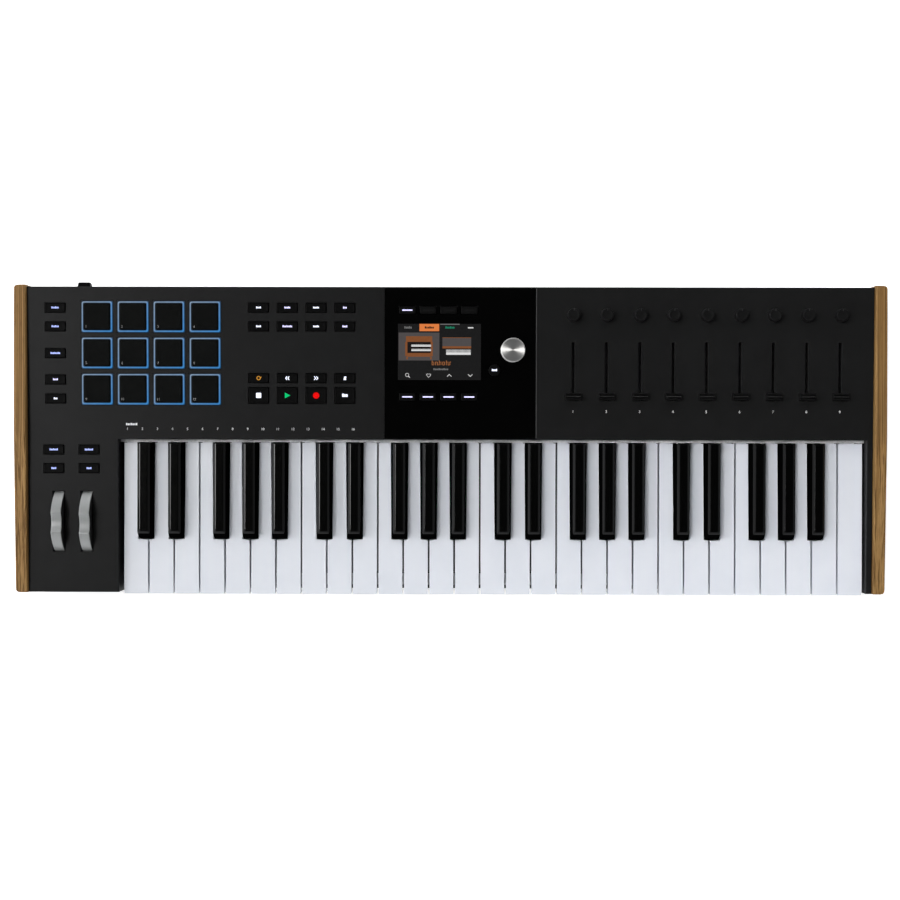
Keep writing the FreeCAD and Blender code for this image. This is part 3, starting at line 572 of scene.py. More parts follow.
def add_black_key(bm, low, high):
    """A black key: sides lean in, wide chamfers beside its flat top, its front in two slopes."""
    base = max(b[1].z for b in solids("keys_c"))
    scale = (high.z - base) / BLACK_RISE
    centre = (low.x + high.x) / 2
    across = (high.x - low.x) / 2 / BLACK_HALF
    front = low.y
    nip = 0.75             # the front corners are taken off by this much

    def ring(half, back, rise):
        half *= across
        y = front + back
        z = base + rise * scale
        flat = half - nip
        rear = KEY_REAR - 0.8 * max(rise - 11.5, 0.0)
        points = [(-flat, y), (flat, y), (half, y + 2.2 * nip), (half, rear),
                  (-half, rear), (-half, y + 2.2 * nip)]
        return [(centre + px, py, z) for px, py in points]

    def inner(z):
        return [(x + (WALL if x < centre else -WALL), y + (WALL if y < front + 3 else -WALL), z)
                for x, y, _ in ring(BLACK_HALF, 0.0, 0.0)]

    foot = -SIDE_WALL / scale
    rings = [inner(base - SKIN), inner(base - SIDE_WALL), ring(BLACK_HALF, 0.0, foot)]
    rings += [ring(half, back, rise) for rise, half, back in BLACK_LEVELS]
    before = set(bm.faces)
    skin(bm, rings)
    for face in set(bm.faces) - before:
        face.material_index = 1 if face.calc_center_median().z < base + MATT_RISE * scale else 0
    add_tail(bm, centre, 4.0, high.y)


def make_keys(m):
    for name in KEY_NAMES:
        node = "keys_" + name
        black = len(name) == 2
        bm = bmesh.new()
        for low, high in solids(node):
            (add_black_key if black else add_white_key)(bm, low, high)
        material = [m["black_key"], m["black_key_side"]] if black else m["white_key"]
        piece(node + "_mouldings", bm, material, node, [node], ROW_AXES)


# ---- Buttons, pads and their legends ----

def caps(name, node, material, dish=0.12):
    """Softly dished caps for a group of buttons; gives each cap's middle, size and top."""
    bm = bmesh.new()
    places = []
    for low, high in solids(node, PANEL):
        flange = 2.2 if high.x - low.x < 30 else 0
        width = high.x - low.x - flange
        depth = high.y - low.y - flange
        centre = plan_middle(low, high)
        top = high.z
        if abs(width - depth) < 0.5:
            r = width / 2
            turned(bm, [(r, low.z + 2.4), (r, top - 0.5), (r - 0.15, top - 0.15), (r - 0.5, top),
                        (r - 1.4, top - dish), (0.6, top - 1.5 * dish)], centre, 40)
        else:
            soft_block(bm, width, depth, 1.1, [
                (0, low.z + 2.4), (0, top - 0.38), (0.1, top - 0.13), (0.38, top), (0.9, top - 0.3 * dish),
                (1.9, top - 0.8 * dish), (depth / 2 - 0.6, top - dish)], centre)
        soft_block(bm, width + flange, depth + flange, 0.4, [(0, low.z + 1.4), (0, low.z + 2.6)], centre)
        turned(bm, [(2.0, low.z), (2.0, low.z + 1.6)], centre, 20)
        places.append((centre, (width, depth), top))
    piece(name, bm, material, node, [node])
    return places


def dashes(bm, centre, z, widths, height=1.45):
    """A word-like row of small bars that spells nothing."""
    gap = 0.30
    total = sum(widths) + gap * (len(widths) - 1)
    x = centre[0] - total / 2
    for i, width in enumerate(widths):
        tall = height * (1.0 if i % 3 else 1.22)
        bar(bm, x + width / 2, centre[1] + (tall - height) / 2, width, tall, z)
        x += width + gap


def word(count, letter=0.80):
    """Bar widths for a word-like legend with that many letters, uneven but repeatable."""
    return [letter * (0.75 + 0.5 * ((i * 7 + count * 3) % 5) / 4) for i in range(count)]


def make_side_buttons(m):
    places = caps("side_button_caps", "side_buttons", m["button"])
    letters = [6, 6, 8, 4, 3, 7, 7, 4, 4]
    colours = ["blue_light", "blue_light", "blue_light", "violet_light", "white_light"] + ["blue_light"] * 4
    for i, ((centre, _, top), count, colour) in enumerate(zip(places, letters, colours)):
        bm = bmesh.new()
        dashes(bm, centre, top - LEGEND_SUNK, word(count))
        piece("side_legend_%d" % (i + 1), bm, m[colour], "side_buttons")


def arrow_pair(bm, centre, z, direction):
    """Two chevrons side by side."""
    for k in (-1, 1):
        chevron(bm, (centre[0] + k * 1.0, centre[1]), z, (direction, 0), (1.4, 3.2), 0.75)


def stroke(bm, start, end, thick, z):
    """A straight line of an even thickness."""
    a, b = Vector(start), Vector(end)
    side = (b - a).normalized().orthogonal() * thick / 2
    plate(bm, [tuple(a - side), tuple(b - side), tuple(b + side), tuple(a + side)], z)


def chevron(bm, centre, z, direction, size, thick):
    """A chevron of (length, width) that points along direction, a unit step along one axis."""
    dx, dy = direction
    length, width = size

    def at(x, y):
        return (centre[0] + x * dx - y * dy, centre[1] + x * dy + y * dx)

    for k, side in enumerate((-1, 1)):
        tip, end = at(length / 2, -side * thick * 0.2), at(-length / 2, side * width / 2)
        stroke(bm, tip, end, thick, z + k * 0.01)


def ring_plate(bm, centre, z, outer, inner):
    """A flat ring."""
    big, small = (moved(circle(r, 32), centre) for r in (outer, inner))
    closed_tube(bm, [at_height(small, z), at_height(big, z), at_height(big, z + PRINT),
                     at_height(small, z + PRINT)])


def make_function_buttons(m):
    """Eight word buttons, then the transport and tool buttons with their signs."""
    places = caps("function_button_caps", "function_buttons", m["button"])
    letters = {0: 4, 1: 5, 2: 5, 3: 3, 4: 4, 5: 8, 6: 5, 7: 4, 15: 3}
    loop, rewind, forward, metronome, stop, play, record, tempo = range(8, 16)
    colours = {loop: "amber_light", play: "green_light", record: "red_light"}
    colours.update((i, "violet_light") for i in (1, 3, 5, 7))
    for i, (centre, _, top) in enumerate(places):
        bm = bmesh.new()
        z = top - LEGEND_SUNK
        if i in letters:
            letter, height = (1.35, 2.4) if i == tempo else (0.80, 1.45)
            dashes(bm, centre, z, word(letters[i], letter), height)
        elif i == loop:
            ring_plate(bm, centre, z, 1.9, 1.25)
            chevron(bm, (centre[0] + 1.7, centre[1] + 0.7), z + 0.05, (0, -1), (0.9, 1.9), 0.45)
        elif i in (rewind, forward):
            arrow_pair(bm, centre, z, -1 if i == rewind else 1)
        elif i == metronome:
            plate(bm, moved(((-1.2, -1.6), (1.2, -1.6), (0.6, 1.5), (-0.6, 1.5)), centre), z)
            bar(bm, centre[0] + 1.0, centre[1] + 0.9, 0.5, 1.6, z + 0.05)
        elif i == stop:
            plate(bm, moved(rounded_rect(4.6, 4.6, 0.5), centre), z)
        elif i == play:
            plate(bm, moved(((-2.3, -2.6), (2.6, 0), (-2.3, 2.6)), centre), z)
        elif i == record:
            plate(bm, moved(circle(2.9, 40), centre), z)
        colour = colours.get(i, "white_light")
        piece("function_legend_%d" % (i + 1), bm, m[colour], "function_buttons")


def make_screen_buttons(m):
    places = caps("screen_button_caps", "screen_buttons", m["soft_button"], dish=0.05)
    round_one = min(places, key=lambda p: abs(p[1][0] - p[1][1]))
    bm = bmesh.new()
    dashes(bm, round_one[0], round_one[2] - 0.06, word(4, 0.9), 1.6)
    piece("back_legend", bm, m["white_light"], "screen_buttons")
    bars = [p for p in places if p is not round_one]
    bars.sort(key=lambda p: (-round(p[0][1]), p[0][0]))
    for i, (centre, _, top) in enumerate(bars):
        bm = bmesh.new()
        plate(bm, moved(rounded_rect(9.4, 1.05, 0.4), centre), top - 0.03)
        colour = "violet_light" if i == 0 or i > 3 else "dim_light"
        piece("screen_button_line_%d" % (i + 1), bm, m[colour], "screen_buttons")


def digits(bm, text, centre, z, height):
    """Raised print of a number, in a plain face, centred on a point."""
    curve = bpy.data.curves.new("digits", "FONT")
    curve.body = text
    curve.size = height * 1.38
    curve.align_x = "CENTER"
    curve.align_y = "CENTER"
    curve.extrude = 0.02
    curve.resolution_u = 3
    holder = bpy.data.objects.new("digits", curve)
    bpy.context.scene.collection.objects.link(holder)
    bpy.context.view_layer.update()
    mesh = bpy.data.meshes.new_from_object(holder.evaluated_get(bpy.context.evaluated_depsgraph_get()))
    before = len(bm.verts)
    bm.from_mesh(mesh)
    bm.verts.ensure_lookup_table()
    for v in bm.verts[before:]:
        v.co += Vector((centre[0], centre[1], z + 0.02))
    bpy.data.objects.remove(holder)
    bpy.data.curves.remove(curve)
    bpy.data.meshes.remove(mesh)


def make_pads(m):
    places = solids("pads", PANEL)
    bm = bmesh.new()
    numbers = bmesh.new()
    for i, (low, high) in enumerate(places):
        size = high.x - low.x
        centre = plan_middle(low, high)
        top = high.z
        levels = [(0, low.z + 2.5), (0, top - 1.0), (0.1, top - 0.55),
                  (0.35, top - 0.22), (0.8, top - 0.05), (1.5, top),
                  (6, top - 0.02), (size / 2 - 1.0, top - 0.04)]
        soft_block(bm, size, size, 1.6, levels, centre)
        turned(bm, [(5.0, low.z), (5.0, low.z + 2.8)], centre, 24)
        corner = (low.x + 2.5, low.y + 2.9)
        digits(numbers, str(i + 1), corner, top - 0.02, 2.4)
    piece("pad_caps", bm, m["pad"], "pads", ["pads"])
    piece("pad_numbers", numbers, m["pad_print"], "pads")


# across a rim from outside to inside: share of its width, depth, light of the painted pale side (left and
# rear, painted reflection) and of the painted blue side (right and front, painted light)
RIM_LEVELS = [(0.03, 0.10, 0.08, 0.14), (0.20, 0.0, 0.06, 0.55), (0.36, 0.0, 0.28, 0.95),
              (0.52, 0.0, 1.0, 1.0), (0.68, 0.0, 1.0, 0.90), (0.84, 0.0, 0.30, 0.60),
              (1.0, 0.15, 0.08, 0.12)]


def make_pad_frames(m):
    """Thin lit rims around the pads, with painted light: pale on the left and rear, blue on the right and
    front.
    """
    bm = bmesh.new()
    painted_side_light = bm.verts.layers.float.new("painted_side_light")
    power = bm.verts.layers.float.new("power")
    pad_low, pad_high = solids("pads", PANEL)[0]
    hole = pad_high.x - pad_low.x + 0.5
    for low, high in solids("pad_light_frames", PANEL):
        flange = high.x - low.x
        width, depth = flange - 2.0, high.y - low.y - 2.0
        centre = plan_middle(low, high)
        levels = [(hole, hole, 1.4, low.z), (flange, flange, 0.5, low.z), (flange, flange, 0.5, low.z + 1.2),
                  (width, depth, 1.7, low.z + 1.3), (width, depth, 1.7, high.z - 0.2)]
        below = len(levels)
        for share, dip, _, _ in RIM_LEVELS:
            side = width + (hole - width) * share
            levels.append((side, side, 1.7 - 0.3 * share, high.z - dip))
        rows = closed_tube(bm, [at_height(moved(rounded_rect(*plan, 5), centre), z) for *plan, z in levels])
        for k, row in enumerate(rows):
            pale, blue = RIM_LEVELS[k - below][2:] if k >= below else (0.1, 0.1)
            for v in row:
                # painted light: 0 on the left and rear sides, 1 on the right and front, mixing the rim's
                # painted pale and blue sides
                across = (v.co.x - centre[0]) / width - (v.co.y - centre[1]) / depth
                v[painted_side_light] = min(max(0.5 + 4.0 * across, 0.0), 1.0)
                v[power] = pale + (blue - pale) * v[painted_side_light]
    piece("pad_light_rims", bm, m["light_guide"], "case", ["pad_light_frames"])


# ---- Display ----

class Screen:
    """Draws thin lit shapes on the display, in millimetres from its upper left corner."""

    def __init__(self, m):
        box = max(solids("display_module", PANEL), key=lambda b: b[1].z)
        border = 3.85
        self.left = box[0].x + border
        self.top = box[1].y - border
        self.z = box[1].z
        self.m = m
        self.count = 0

    def at(self, x, y):
        return (self.left + x, self.top - y)

    def emit(self, bm, colour):
        self.count += 1
        piece("screen_shape_%02d" % self.count, bm, self.m[colour], "case")

    def box(self, x, y, width, height, colour, lift=0):
        self.boxes([(x, y, width, height)], colour, lift)

    def boxes(self, rows, colour, lift=0):
        """Several rectangles, each (x, y, width, height), as one piece."""
        bm = bmesh.new()
        for x, y, width, height in rows:
            cx, cy = self.at(x + width / 2, y + height / 2)
            bar(bm, cx, cy, width, height, self.z + lift * LAYER)
        self.emit(bm, colour)

    def word(self, cx, cy, count, letter, height, colour, lift=0):
        bm = bmesh.new()
        dashes(bm, self.at(cx, cy), self.z + lift * LAYER, word(count, letter), height)
        self.emit(bm, colour)

    def name(self, cx, cy, count, colour):
        """A large name-like row of thin upright and level strokes that spells nothing."""
        pitch, foot = 1.62, 1.55
        lines = []
        for i in range(count):
            x = cx + (i - (count - 1) / 2) * pitch
            tall = 4.3 if i % 4 == 0 else 3.1
            lines.append((x, cy - tall + foot, 0.34, tall))
            if i % 2 == 0:
                lines.append((x + 0.4, cy - 1.5, 0.8, 0.3))
            if i % 3 == 0:
                lines.append((x + 0.4, cy + 1.2, 0.8, 0.3))
        self.boxes(lines, colour)


def draw_screen(m):
    screen = Screen(m)
    screen.word(9.4, 3.7, 5, 1.1, 1.7, "screen_mid")
    screen.box(19.8, 0.3, 18.0, 6.6, "orange_light")
    screen.word(28.8, 3.7, 6, 1.1, 1.6, "screen_dark", lift=1)
    screen.box(38.8, 0.2, 17.6, 0.8, "screen_mid")
    screen.word(47.6, 3.7, 6, 1.1, 1.6, "screen_green")
    screen.box(64.0, 3.2, 5.0, 1.1, "screen_white")
    screen.box(0.8, 8.2, 37.2, 25.4, "screen_grey")
    screen.boxes([(7.5, 11.5, 24.0, 5.2), (6.8, 16.7, 2.0, 13.0), (30.0, 16.7, 2.0, 13.0),
                  (8.8, 26.8, 21.2, 3.4), (7.8, 30.2, 1.5, 2.4), (29.6, 30.2, 1.5, 2.4)], "screen_brown", 1)
    screen.box(8.8, 16.7, 21.2, 10.1, "screen_dark", 1)
    screen.boxes([(12.4, 19.0, 18.0, 2.0), (12.4, 23.0, 18.0, 2.0)], "screen_white", 2)
    screen.boxes([(12.6 + 0.95 * i, y, 0.4, 1.0) for i in range(19) for y in (18.9, 22.9)], "screen_dark", 3)
    screen.box(40.8, 12.6, 26.2, 8.2, "screen_grey")
    screen.boxes([(40.8, 12.6, 26.2, 0.5), (40.8, 20.6, 26.2, 2.0)], "screen_brown", 1)
    screen.box(44.2, 23.6, 22.4, 4.8, "screen_white", 1)
    screen.boxes([(44.6 + 1.06 * i, 23.5, 0.5, 2.8) for i in range(21)], "screen_dark", 2)
    screen.name(39.3, 36.3, 11, "orange_text")
    screen.word(39.3, 41.7, 9, 1.2, 1.4, "screen_mid")
    draw_screen_icons(screen)


def heart_outline():
    points = []
    count = 40
    for i in range(count):
        t = -2 * math.pi * (i + 1) / count
        points.append((16 * math.sin(t) ** 3,
                       13 * math.cos(t) - 5 * math.cos(2 * t) - 2 * math.cos(3 * t) - math.cos(4 * t)))
    return points


def draw_screen_icons(screen):
    y = 47.2
    z = screen.z
    lens = bmesh.new()
    ring_plate(lens, screen.at(8.6, y - 0.4), z, 1.7, 1.3)
    stroke(lens, screen.at(9.7, y + 0.7), screen.at(11.0, y + 2.0), 0.7, z)
    screen.emit(lens, "screen_white")
    heart = bmesh.new()
    big, small = (moved([(x * sx, v * sy) for x, v in heart_outline()], screen.at(28.2, y))
                  for sx, sy in ((0.132, 0.132), (0.1016, 0.099)))
    closed_tube(heart, [at_height(small, z), at_height(big, z), at_height(big, z + PRINT),
                        at_height(small, z + PRINT)])
    screen.emit(heart, "screen_white")
    for x, direction in ((47.1, (0, 1)), (66.2, (0, -1))):
        mark = bmesh.new()
        chevron(mark, screen.at(x, y), z, direction, (1.9, 4.0), 0.55)
        screen.emit(mark, "screen_white")


# ---- Knobs, faders, wheels ----

def make_knobs(m):
    """Nine small fluted knobs with a shallow dish and a printed pointer mark."""
    base, flutes, flute_depth, shaft_r = 0.7, 24, 0.14, 2.95
    for number in range(1, 10):
        node = "knob_%d" % number
        low, high = solids(node, PANEL)[0]
        centre = plan_middle(low, high)
        r = (high.x - low.x) / 2
        top = high.z
        profile = [(r * 0.92, base), (r, base + 0.25), (r, base + 1.0), (r - 0.25, base + 1.3),
                   (r - 0.4, top - 0.9), (r - 0.55, top - 0.35), (r - 1.0, top - 0.04),
                   (r - 1.5, top), (r - 2.2, top - 0.18), (r * 0.3, top - 0.3)]
        rings = []
        for step, (radius, z) in enumerate(profile):
            deep = flute_depth if 3 <= step <= 5 else 0.0
            angles = [2 * math.pi * i / 96 for i in range(96)]
            reach = [radius - deep * (0.5 - 0.5 * math.cos(flutes * a)) for a in angles]
            ring = [(d * math.cos(a), d * math.sin(a)) for d, a in zip(reach, angles)]
            rings.append(at_height(moved(ring, centre), z))
        bm = bmesh.new()
        skin(bm, rings)
        turned(bm, [(shaft_r, low.z), (shaft_r, base + 0.1)], centre, 28)
        piece(node + "_cap", bm, m["knob"], node, [node])
        mark = bmesh.new()
        bar(mark, centre[0], centre[1] + r - 1.65, 0.5, 1.9, top - 0.02)
        piece(node + "_pointer", mark, m["mark"], node)


def make_faders(m):
    """Nine fader caps: two finger hollows on either side of a ridge with a line."""
    base, hollow, steps = 1.2, 1.1, 7
    for number in range(1, 10):
        node = "fader_%d" % number
        low, high = solids(node, PANEL)[0]
        cx, cy = plan_middle(low, high)
        half_x, half_y = (high.x - low.x) / 2, (high.y - low.y) / 2
        top = high.z
        edge = [(half_y, base), (half_y - 0.35, top - 0.9), (half_y - 0.6, top - 0.15), (half_y - 0.95, top)]
        outline = [(-half_y, base)] + edge
        for side in (1, -1):
            for i in range(steps):
                share = i / (steps - 1) if side > 0 else 1 - i / (steps - 1)
                outline.append((side * (half_y - 0.95 - (half_y - 1.25) * share * 0.94),
                                top - hollow * math.sin(math.pi * share) - 0.2 * share))
        outline += [(-y, z) for y, z in reversed(edge[1:])]
        clean = [p for i, p in enumerate(outline) if math.dist(p, outline[i - 1]) > 0.02]
        near_end = [(half_x, 0.5), (half_x - 0.12, 0.2), (half_x - 0.5, 0.0)]
        rings = []
        for x, shrink in [(-x, shrink) for x, shrink in near_end] + near_end[::-1]:
            share, lower = 1 - shrink / half_y, 1 - 0.5 * shrink / (top - base)
            rings.append([(cx + x, cy + y * share, base + (z - base) * lower) for y, z in clean])
        bm = bmesh.new()
        skin(bm, rings)
        soft_block(bm, 1.5, 4.4, 0.3, [(0, low.z), (0, base + 0.2)], (cx, cy))
        piece(node + "_cap", bm, m["knob"], node, [node])
        line = bmesh.new()
        bar(line, cx, cy, 2 * half_x - 1.6, 0.34, top - 0.18)
        piece(node + "_line", line, m["mark"], node)


def make_browse_knob(m):
    """A turned knob with fine ridges round its side and a slightly hollow top."""
    low, high = solids("browse_knob", PANEL)[0]
    r = (high.x - low.x) / 2
    top = high.z
    ridges, rows = 9, 9
    profile = [(r - 0.5, low.z), (r - 0.1, low.z + 0.3), (r - 0.1, low.z + 2.0)]
    for i in range(ridges):
        z = low.z + 2.4 + i * 0.8
        profile += [(r, z), (r, z + 0.45), (r - 0.16, z + 0.6)]
    profile += [(r, top - 0.9), (r - 0.08, top - 0.55), (r - 0.75, top), (r - 0.95, top - 0.10)]
    profile += [((r - 1.0) * (1 - i / rows), top - 0.10 - 0.12 * i / rows) for i in range(rows)]
    profile.append((0.15, top - 0.22))
    bm = bmesh.new()
    turned(bm, profile, plan_middle(low, high), 96)
    piece("browse_knob_cap", bm, m["spun"], "browse_knob", ["browse_knob"], sharp_deg=30)


def make_wheels(m):
    """Wheels with a grey tyre that has a thumb scoop between two ridges, on a black core; the tyre's flat
    sides are painted dark as painted shade.
    """
    scoop_r, scoop_deep, web_half, hub_r = 16.6, 3.7, 1.6, 5.0
    for node, turn_deg in (("pitch_wheel", 1.0), ("mod_wheel", 2.8)):
        low, high = solids(node)[0]
        rest = math.pi / 2 + math.radians(turn_deg)
        axis = Vector(JOINTS["turn_" + node]["pos_m"]) / MM
        cx = (low.x + high.x) / 2
        half = (high.x - low.x) / 2
        radius = (high.y - low.y) / 2
        inside = radius * 0.66
        away = radius - scoop_deep + scoop_r
        start = -math.asin((axis.z - low.z) / radius)

        def rim(angle):
            offset = angle - rest
            reach = away * math.sin(offset)
            if abs(reach) < scoop_r and math.cos(offset) > 0:
                return min(radius, away * math.cos(offset) - math.sqrt(scoop_r ** 2 - reach ** 2))
            return radius

        def angles(steps):
            return [start + (math.pi - 2 * start) * i / steps for i in range(steps + 1)]

        def at(x, reach, angle):
            return (cx + x, axis.y + reach * math.cos(angle), axis.z + reach * math.sin(angle))

        bm = bmesh.new()
        rings = []
        for angle in angles(150):
            side = [(half - drop_x, rim(angle) - drop) for drop_x, drop in
                    ((0.9, 0), (0.4, 0.12), (0.12, 0.4), (0, 0.9))] + [(half, inside)]
            rings.append([at(x, s, angle) for x, s in [(-x, s) for x, s in reversed(side)] + side])
        skin(bm, rings)
        bm.normal_update()
        # painted shade: the tyre's flat sides take the dark core material, standing for the shade on the
        # wheel's side
        for face in bm.faces:
            face.material_index = 1 if abs(face.normal.x) > 0.9 else 0
        tyre_faces = len(bm.faces)
        skin(bm, [[at(x, inside + 0.5, angle) for angle in angles(48)] for x in (-web_half, web_half)])
        skin(bm, [[(cx + x, axis.y + y, axis.z + z) for y, z in circle(hub_r, 32)] for x in (-half, half)])
        bm.faces.ensure_lookup_table()
        for face in bm.faces[tyre_faces:]:
            face.material_index = 1
        piece(node + "_moulding", bm, [m["wheel"], m["component"]], node, [node], ROW_AXES, sharp_deg=32)


# ---- Casing details ----

def top_line(node, low, high):
    """The height of a cheek's top at any depth, read from the CAD mesh."""
    margin = CHEEK_ROUND - 0.05
    heights = {}
    for vert in frame["nodes"][node].data.vertices:
        x, y, z = vert.co / MM
        if low.x + margin < x < high.x - margin and z > 0.8 * high.z:
            heights[y] = max(z, heights.get(y, 0.0))
    points = sorted(heights.items())

    def top_z(y):
        for (y1, z1), (y2, z2) in zip(points, points[1:]):
            if y <= y2 and y2 - y1 > 0.01:
                return z1 + (z2 - z1) * (y - y1) / (y2 - y1)
        return points[-1][1]

    return top_z


def make_cheeks(m):
    """Wooden boards with softened edges, level at the rear and falling to the front."""
    for side in ("left", "right"):
        node = side + "_cheek"
        low, high = (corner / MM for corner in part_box(node))
        top_z = top_line(node, low, high)
        middle_x, half_x = (low.x + high.x) / 2, (high.x - low.x) / 2
        outward = 1 if side == "right" else -1

        def drawn_in(radius, from_end):
            gap = max(radius - from_end, 0.0)
            return radius - math.sqrt(radius ** 2 - gap ** 2)

        def section(y):
            """The outline across the board; it draws in towards both ends."""
            from_end = min(y - low.y, high.y - y)
            outer = half_x - drawn_in(3.5, from_end)
            inner = half_x - drawn_in(0.6, from_end)
            top = top_z(y) - drawn_in(CHEEK_ROUND, from_end)
            foot = low.z + drawn_in(0.5, from_end)
            points = [(outer, foot + 0.5), (outer - 0.5, foot),
                      (-inner + 0.5, foot), (-inner, foot + 0.5)]
            for corner, start in ((-inner + CHEEK_ROUND, 180), (outer - CHEEK_ROUND, 90)):
                for step in range(7):
                    angle = math.radians(start - 15 * step)
                    points.append((corner + CHEEK_ROUND * math.cos(angle),
                                   top - CHEEK_ROUND + CHEEK_ROUND * math.sin(angle)))
            return [(middle_x + outward * x, y, z) for x, z in points]

        near = [0, 0.06, 0.24, 0.6, 1.1, 1.7, 2.5, 3.5]
        along = [-30 + 3 * i for i in range(20)]
        places = [low.y + d for d in near] + along + [high.y - d for d in reversed(near)]
        bm = bmesh.new()
        skin(bm, [section(y) for y in places])
        piece(side + "_cheek_board", bm, m["wood_" + side], "case", [node], ROW_AXES)


def make_fascia_trim(m):
    """A painted highlight: a thin pale strip laid flat on the panel along the fascia's right side, standing
    for its edge catching the light.
    """
    low, high = solids("centre_fascia", PANEL)[0]
    bm = bmesh.new()
    bar(bm, high.x + 0.25, (low.y + high.y) / 2, 0.7, high.y - low.y - 1.0, 0.0, 0.06)
    piece("painted_fascia_highlight", bm, m["painted_highlight"], "case")


def make_prints(m):
    """Numbers on the panel: channels over the keys and faders below their slots."""
    below_fader, channels, pitch = 10.6, 16, 13.78
    pads = [middle(b) for b in solids("pads", PANEL)]
    first_x, row_y = pads[0].x + 27.35, pads[-1].y - 36.35
    bm = bmesh.new()
    for n in range(1, 10):
        low, high = solids("fader_%d" % n, PANEL)[0]
        digits(bm, str(n), ((low.x + high.x) / 2, low.y - below_fader), 0.0, 2.5)
    for n in range(channels):
        digits(bm, str(n + 1), (first_x + n * pitch, row_y), 0.0, 2.3)
    dashes(bm, (first_x + 4.0, row_y + 4.2), 0.0, word(7, 1.2), 1.7)
    piece("panel_numbers", bm, m["print"], "case")


def make_feet(m):
    """Rubber feet with a ringed sole and a recessed middle."""
    sole = [(0.3, 0.8), (0.42, 0.8), (0.46, 0.0), (0.6, 0.0), (0.62, 0.3), (0.68, 0.3), (0.7, 0.0),
            (0.86, 0.0), (0.96, 0.3), (1.0, 0.9)]
    bm = bmesh.new()
    for low, high in solids("rubber_feet"):
        r = (high.x - low.x) / 2
        turned(bm, [(r * share, z) for share, z in sole] + [(r, high.z)], plan_middle(low, high))
    piece("feet", bm, m["rubber"], "case", ["rubber_feet"], ROW_AXES)


def make_screws(m):
    """Pan-head screws with a cross recess, below and in the cheeks."""
    head_r, shank_r, wide, narrow = 2.8, 1.5, 1.55, 0.55
    bm = bmesh.new()
    for low, high in solids("case_screws"):
        base = (low + high) / 2
        if high.z - low.z > high.x - low.x:
            base.z = low.z
            direction, length, head = Vector((0, 0, 1)), high.z - low.z, 1.2
        else:
            outward = 1 if base.x > 0 else -1
            base.x = low.x if outward > 0 else high.x
            direction, length, head = Vector((outward, 0, 0)), high.x - low.x, 2.0
        star = [(2 * math.pi * i / 32, wide if i % 8 in (0, 1, 7) else narrow) for i in range(32)]
        rings = [[(r * k * math.cos(a), r * k * math.sin(a), z) for a, r in star]
                 for k, z in ((0.55, 0.9), (1.0, 0.0))]
        rings += [[(r * math.cos(a), r * math.sin(a), z) for a, _ in star]
                  for r, z in ((head_r - 0.2, 0.0), (head_r, 0.15), (head_r, head), (shank_r, head),
                               (shank_r, length - 1), (0.6, length))]
        turn = Vector((0, 0, 1)).rotation_difference(direction).to_matrix()
        skin(bm, [[base + turn @ Vector(p) for p in ring] for ring in rings])
    piece("screws", bm, m["steel"], "case", ["case_screws"], ROW_AXES)


def tube_y(bm, centre, y0, y1, outer, inner, count):
    """A plain collar along Y, with small chamfers on its rear edge."""
    chamfer = 0.2
    levels = [(inner, y0), (outer, y0), (outer, y1 - chamfer), (outer - chamfer, y1),
              (inner + chamfer, y1), (inner, y1 - chamfer)]
    closed_tube(bm, [[(x, y, z) for x, z in moved(circle(r, count), centre)] for r, y in levels])


def make_jack_collars(m):
    """Metal nuts around the jack sockets and steel faces round the DIN sockets."""
    bm = bmesh.new()
    socket_z = 30
    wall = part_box("base_tray")[1].y / MM
    # for each socket's collars: how far it stands out, outer and inner radius, number of sides
    collars = {"pedal_jacks": [(1.6, 6.6, 5.55, 6), (1.1, 5.5, 3.35, 36)],
               "midi_sockets": [(0.7, 10.4, 9.15, 48)]}
    for node, sizes in collars.items():
        for low, high in solids(node):
            for proud, outer, inner, count in sizes:
                tube_y(bm, ((low.x + high.x) / 2, socket_z), wall + 0.02, wall + proud, outer, inner, count)
    piece("socket_collars", bm, m["nickel"], "case", axes=ROW_AXES)


def dress_cad_nodes(m):
    """Materials for the CAD nodes whose shape stays."""
    finishes = {
        "tray": ["base_tray"], "panel": ["top_panel"], "fascia": ["centre_fascia"],
        "screen": ["display_module"], "frame_plastic": ["keybed_frame", "wheel_cradle"],
        "steel": ["key_pivot_rod", "key_return_springs", "browse_shaft"], "felt": ["key_felts"],
        "board": ["key_contact_board", "circuit_boards"], "component": ["knob_encoders", "fader_tracks"],
        "socket": ["pedal_jacks", "midi_sockets", "usb_power_sockets"], "button": ["power_button"],
    }
    for name, nodes in finishes.items():
        for node in nodes:
            mesh = frame["nodes"][node].data
            mesh.materials.clear()
            mesh.materials.append(m[name])


# ---- Stage ----

def soft_light(name, place, target, size, power, only_gloss=False, spread_deg=180):
    """A panel light, in metres and watts, that gives either only diffuse light or only gloss."""
    data = bpy.data.lights.new(name, "AREA")
    data.shape = "RECTANGLE"
    data.size, data.size_y = size
    data.energy = power
    data.spread = math.radians(spread_deg)
    light = bpy.data.objects.new(name, data)
    light.visible_glossy = only_gloss
    light.visible_diffuse = not only_gloss
    light.location = place
    light.rotation_euler = (Vector(target) - Vector(place)).to_track_quat("-Z", "Y").to_euler()
    bpy.context.scene.collection.objects.link(light)


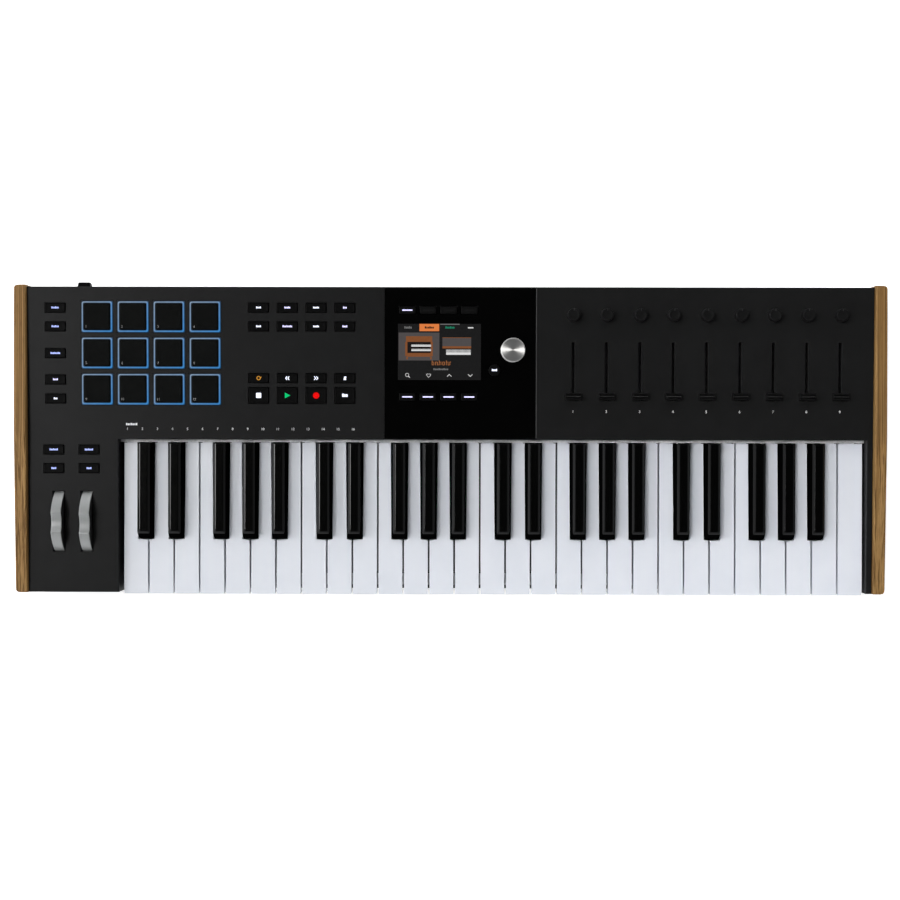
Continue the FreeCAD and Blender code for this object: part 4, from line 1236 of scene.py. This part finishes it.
def make_world():
    """A studio that is brightest low down on the left."""
    world = bpy.data.worlds.new("studio")
    world.use_nodes = True
    nodes, links = world.node_tree.nodes, world.node_tree.links
    parts = nodes.new("ShaderNodeSeparateXYZ")
    links.new(nodes.new("ShaderNodeTexCoord").outputs["Generated"], parts.inputs[0])
    both = nodes.new("ShaderNodeMath")
    both.operation = "MULTIPLY"
    for i, (axis, ends) in enumerate((("Z", (0.15, 0.75, 0.70, 0.02)), ("X", (-1.0, 1.0, 3.2, 0.9)))):
        brightness = nodes.new("ShaderNodeMapRange")
        links.new(parts.outputs[axis], brightness.inputs["Value"])
        for name, value in zip(("From Min", "From Max", "To Min", "To Max"), ends):
            brightness.inputs[name].default_value = value
        links.new(brightness.outputs["Result"], both.inputs[i])
    background = nodes["Background"]
    links.new(both.outputs[0], background.inputs["Strength"])
    background.inputs["Color"].default_value = (0.95, 0.97, 1, 1)
    bpy.context.scene.world = world


def make_stage():
    bm = bmesh.new()
    bmesh.ops.create_grid(bm, x_segments=2, y_segments=2, size=6)
    mesh = bpy.data.meshes.new("floor")
    bm.to_mesh(mesh)
    bm.free()
    s = Shader("pale_floor")
    s.set(Base_Color=s.mix(s.noise(2), grey(0.82), grey(0.86)), Roughness=0.9)
    s.set(Emission_Color=grey(1), Emission_Strength=0.68)
    mesh.materials.append(s.material)
    floor = bpy.data.objects.new("floor", mesh)
    floor.location.z = cad_box[0][2] - 0.0005
    bpy.context.scene.collection.objects.link(floor)
    make_world()
    bpy.context.scene.view_settings.view_transform = "Standard"
    soft_light("key_softbox", (-2.1, 1.1, 6.2), (1.0, 0, 0), (2.6, 2.0), 17.5, spread_deg=40)
    soft_light("low_softbox", (-6.3, 1.6, 6.3), (0.6, 0, 0), (3.0, 2.4), 190)
    soft_light("rear_softbox", (0.6, 3.6, 4.4), (0, 0, 0), (1.5, 1.5), 50)
    soft_light("left_gleam", (-3.8, 0.35, 6.0), (0, 0, 0), (1.8, 1.8), 260, only_gloss=True)


def make_camera():
    data = bpy.data.cameras.new("camera")
    data.sensor_width = 36
    data.lens = 56.34
    camera = bpy.data.objects.new("camera", data)
    camera.location = (0.0084, -0.0037, 1.343)
    camera.rotation_euler = (math.radians(-0.32), math.radians(0.36), math.radians(0.12))
    bpy.context.scene.collection.objects.link(camera)
    bpy.context.scene.camera = camera


make_camera()
make_stage()
materials = make_materials()
for make in (dress_cad_nodes, make_keys, make_side_buttons, make_function_buttons, make_screen_buttons,
             make_pads, make_pad_frames, draw_screen, make_knobs, make_faders, make_browse_knob,
             make_wheels, make_cheeks, make_fascia_trim, make_prints, make_feet, make_screws,
             make_jack_collars):
    make(materials)
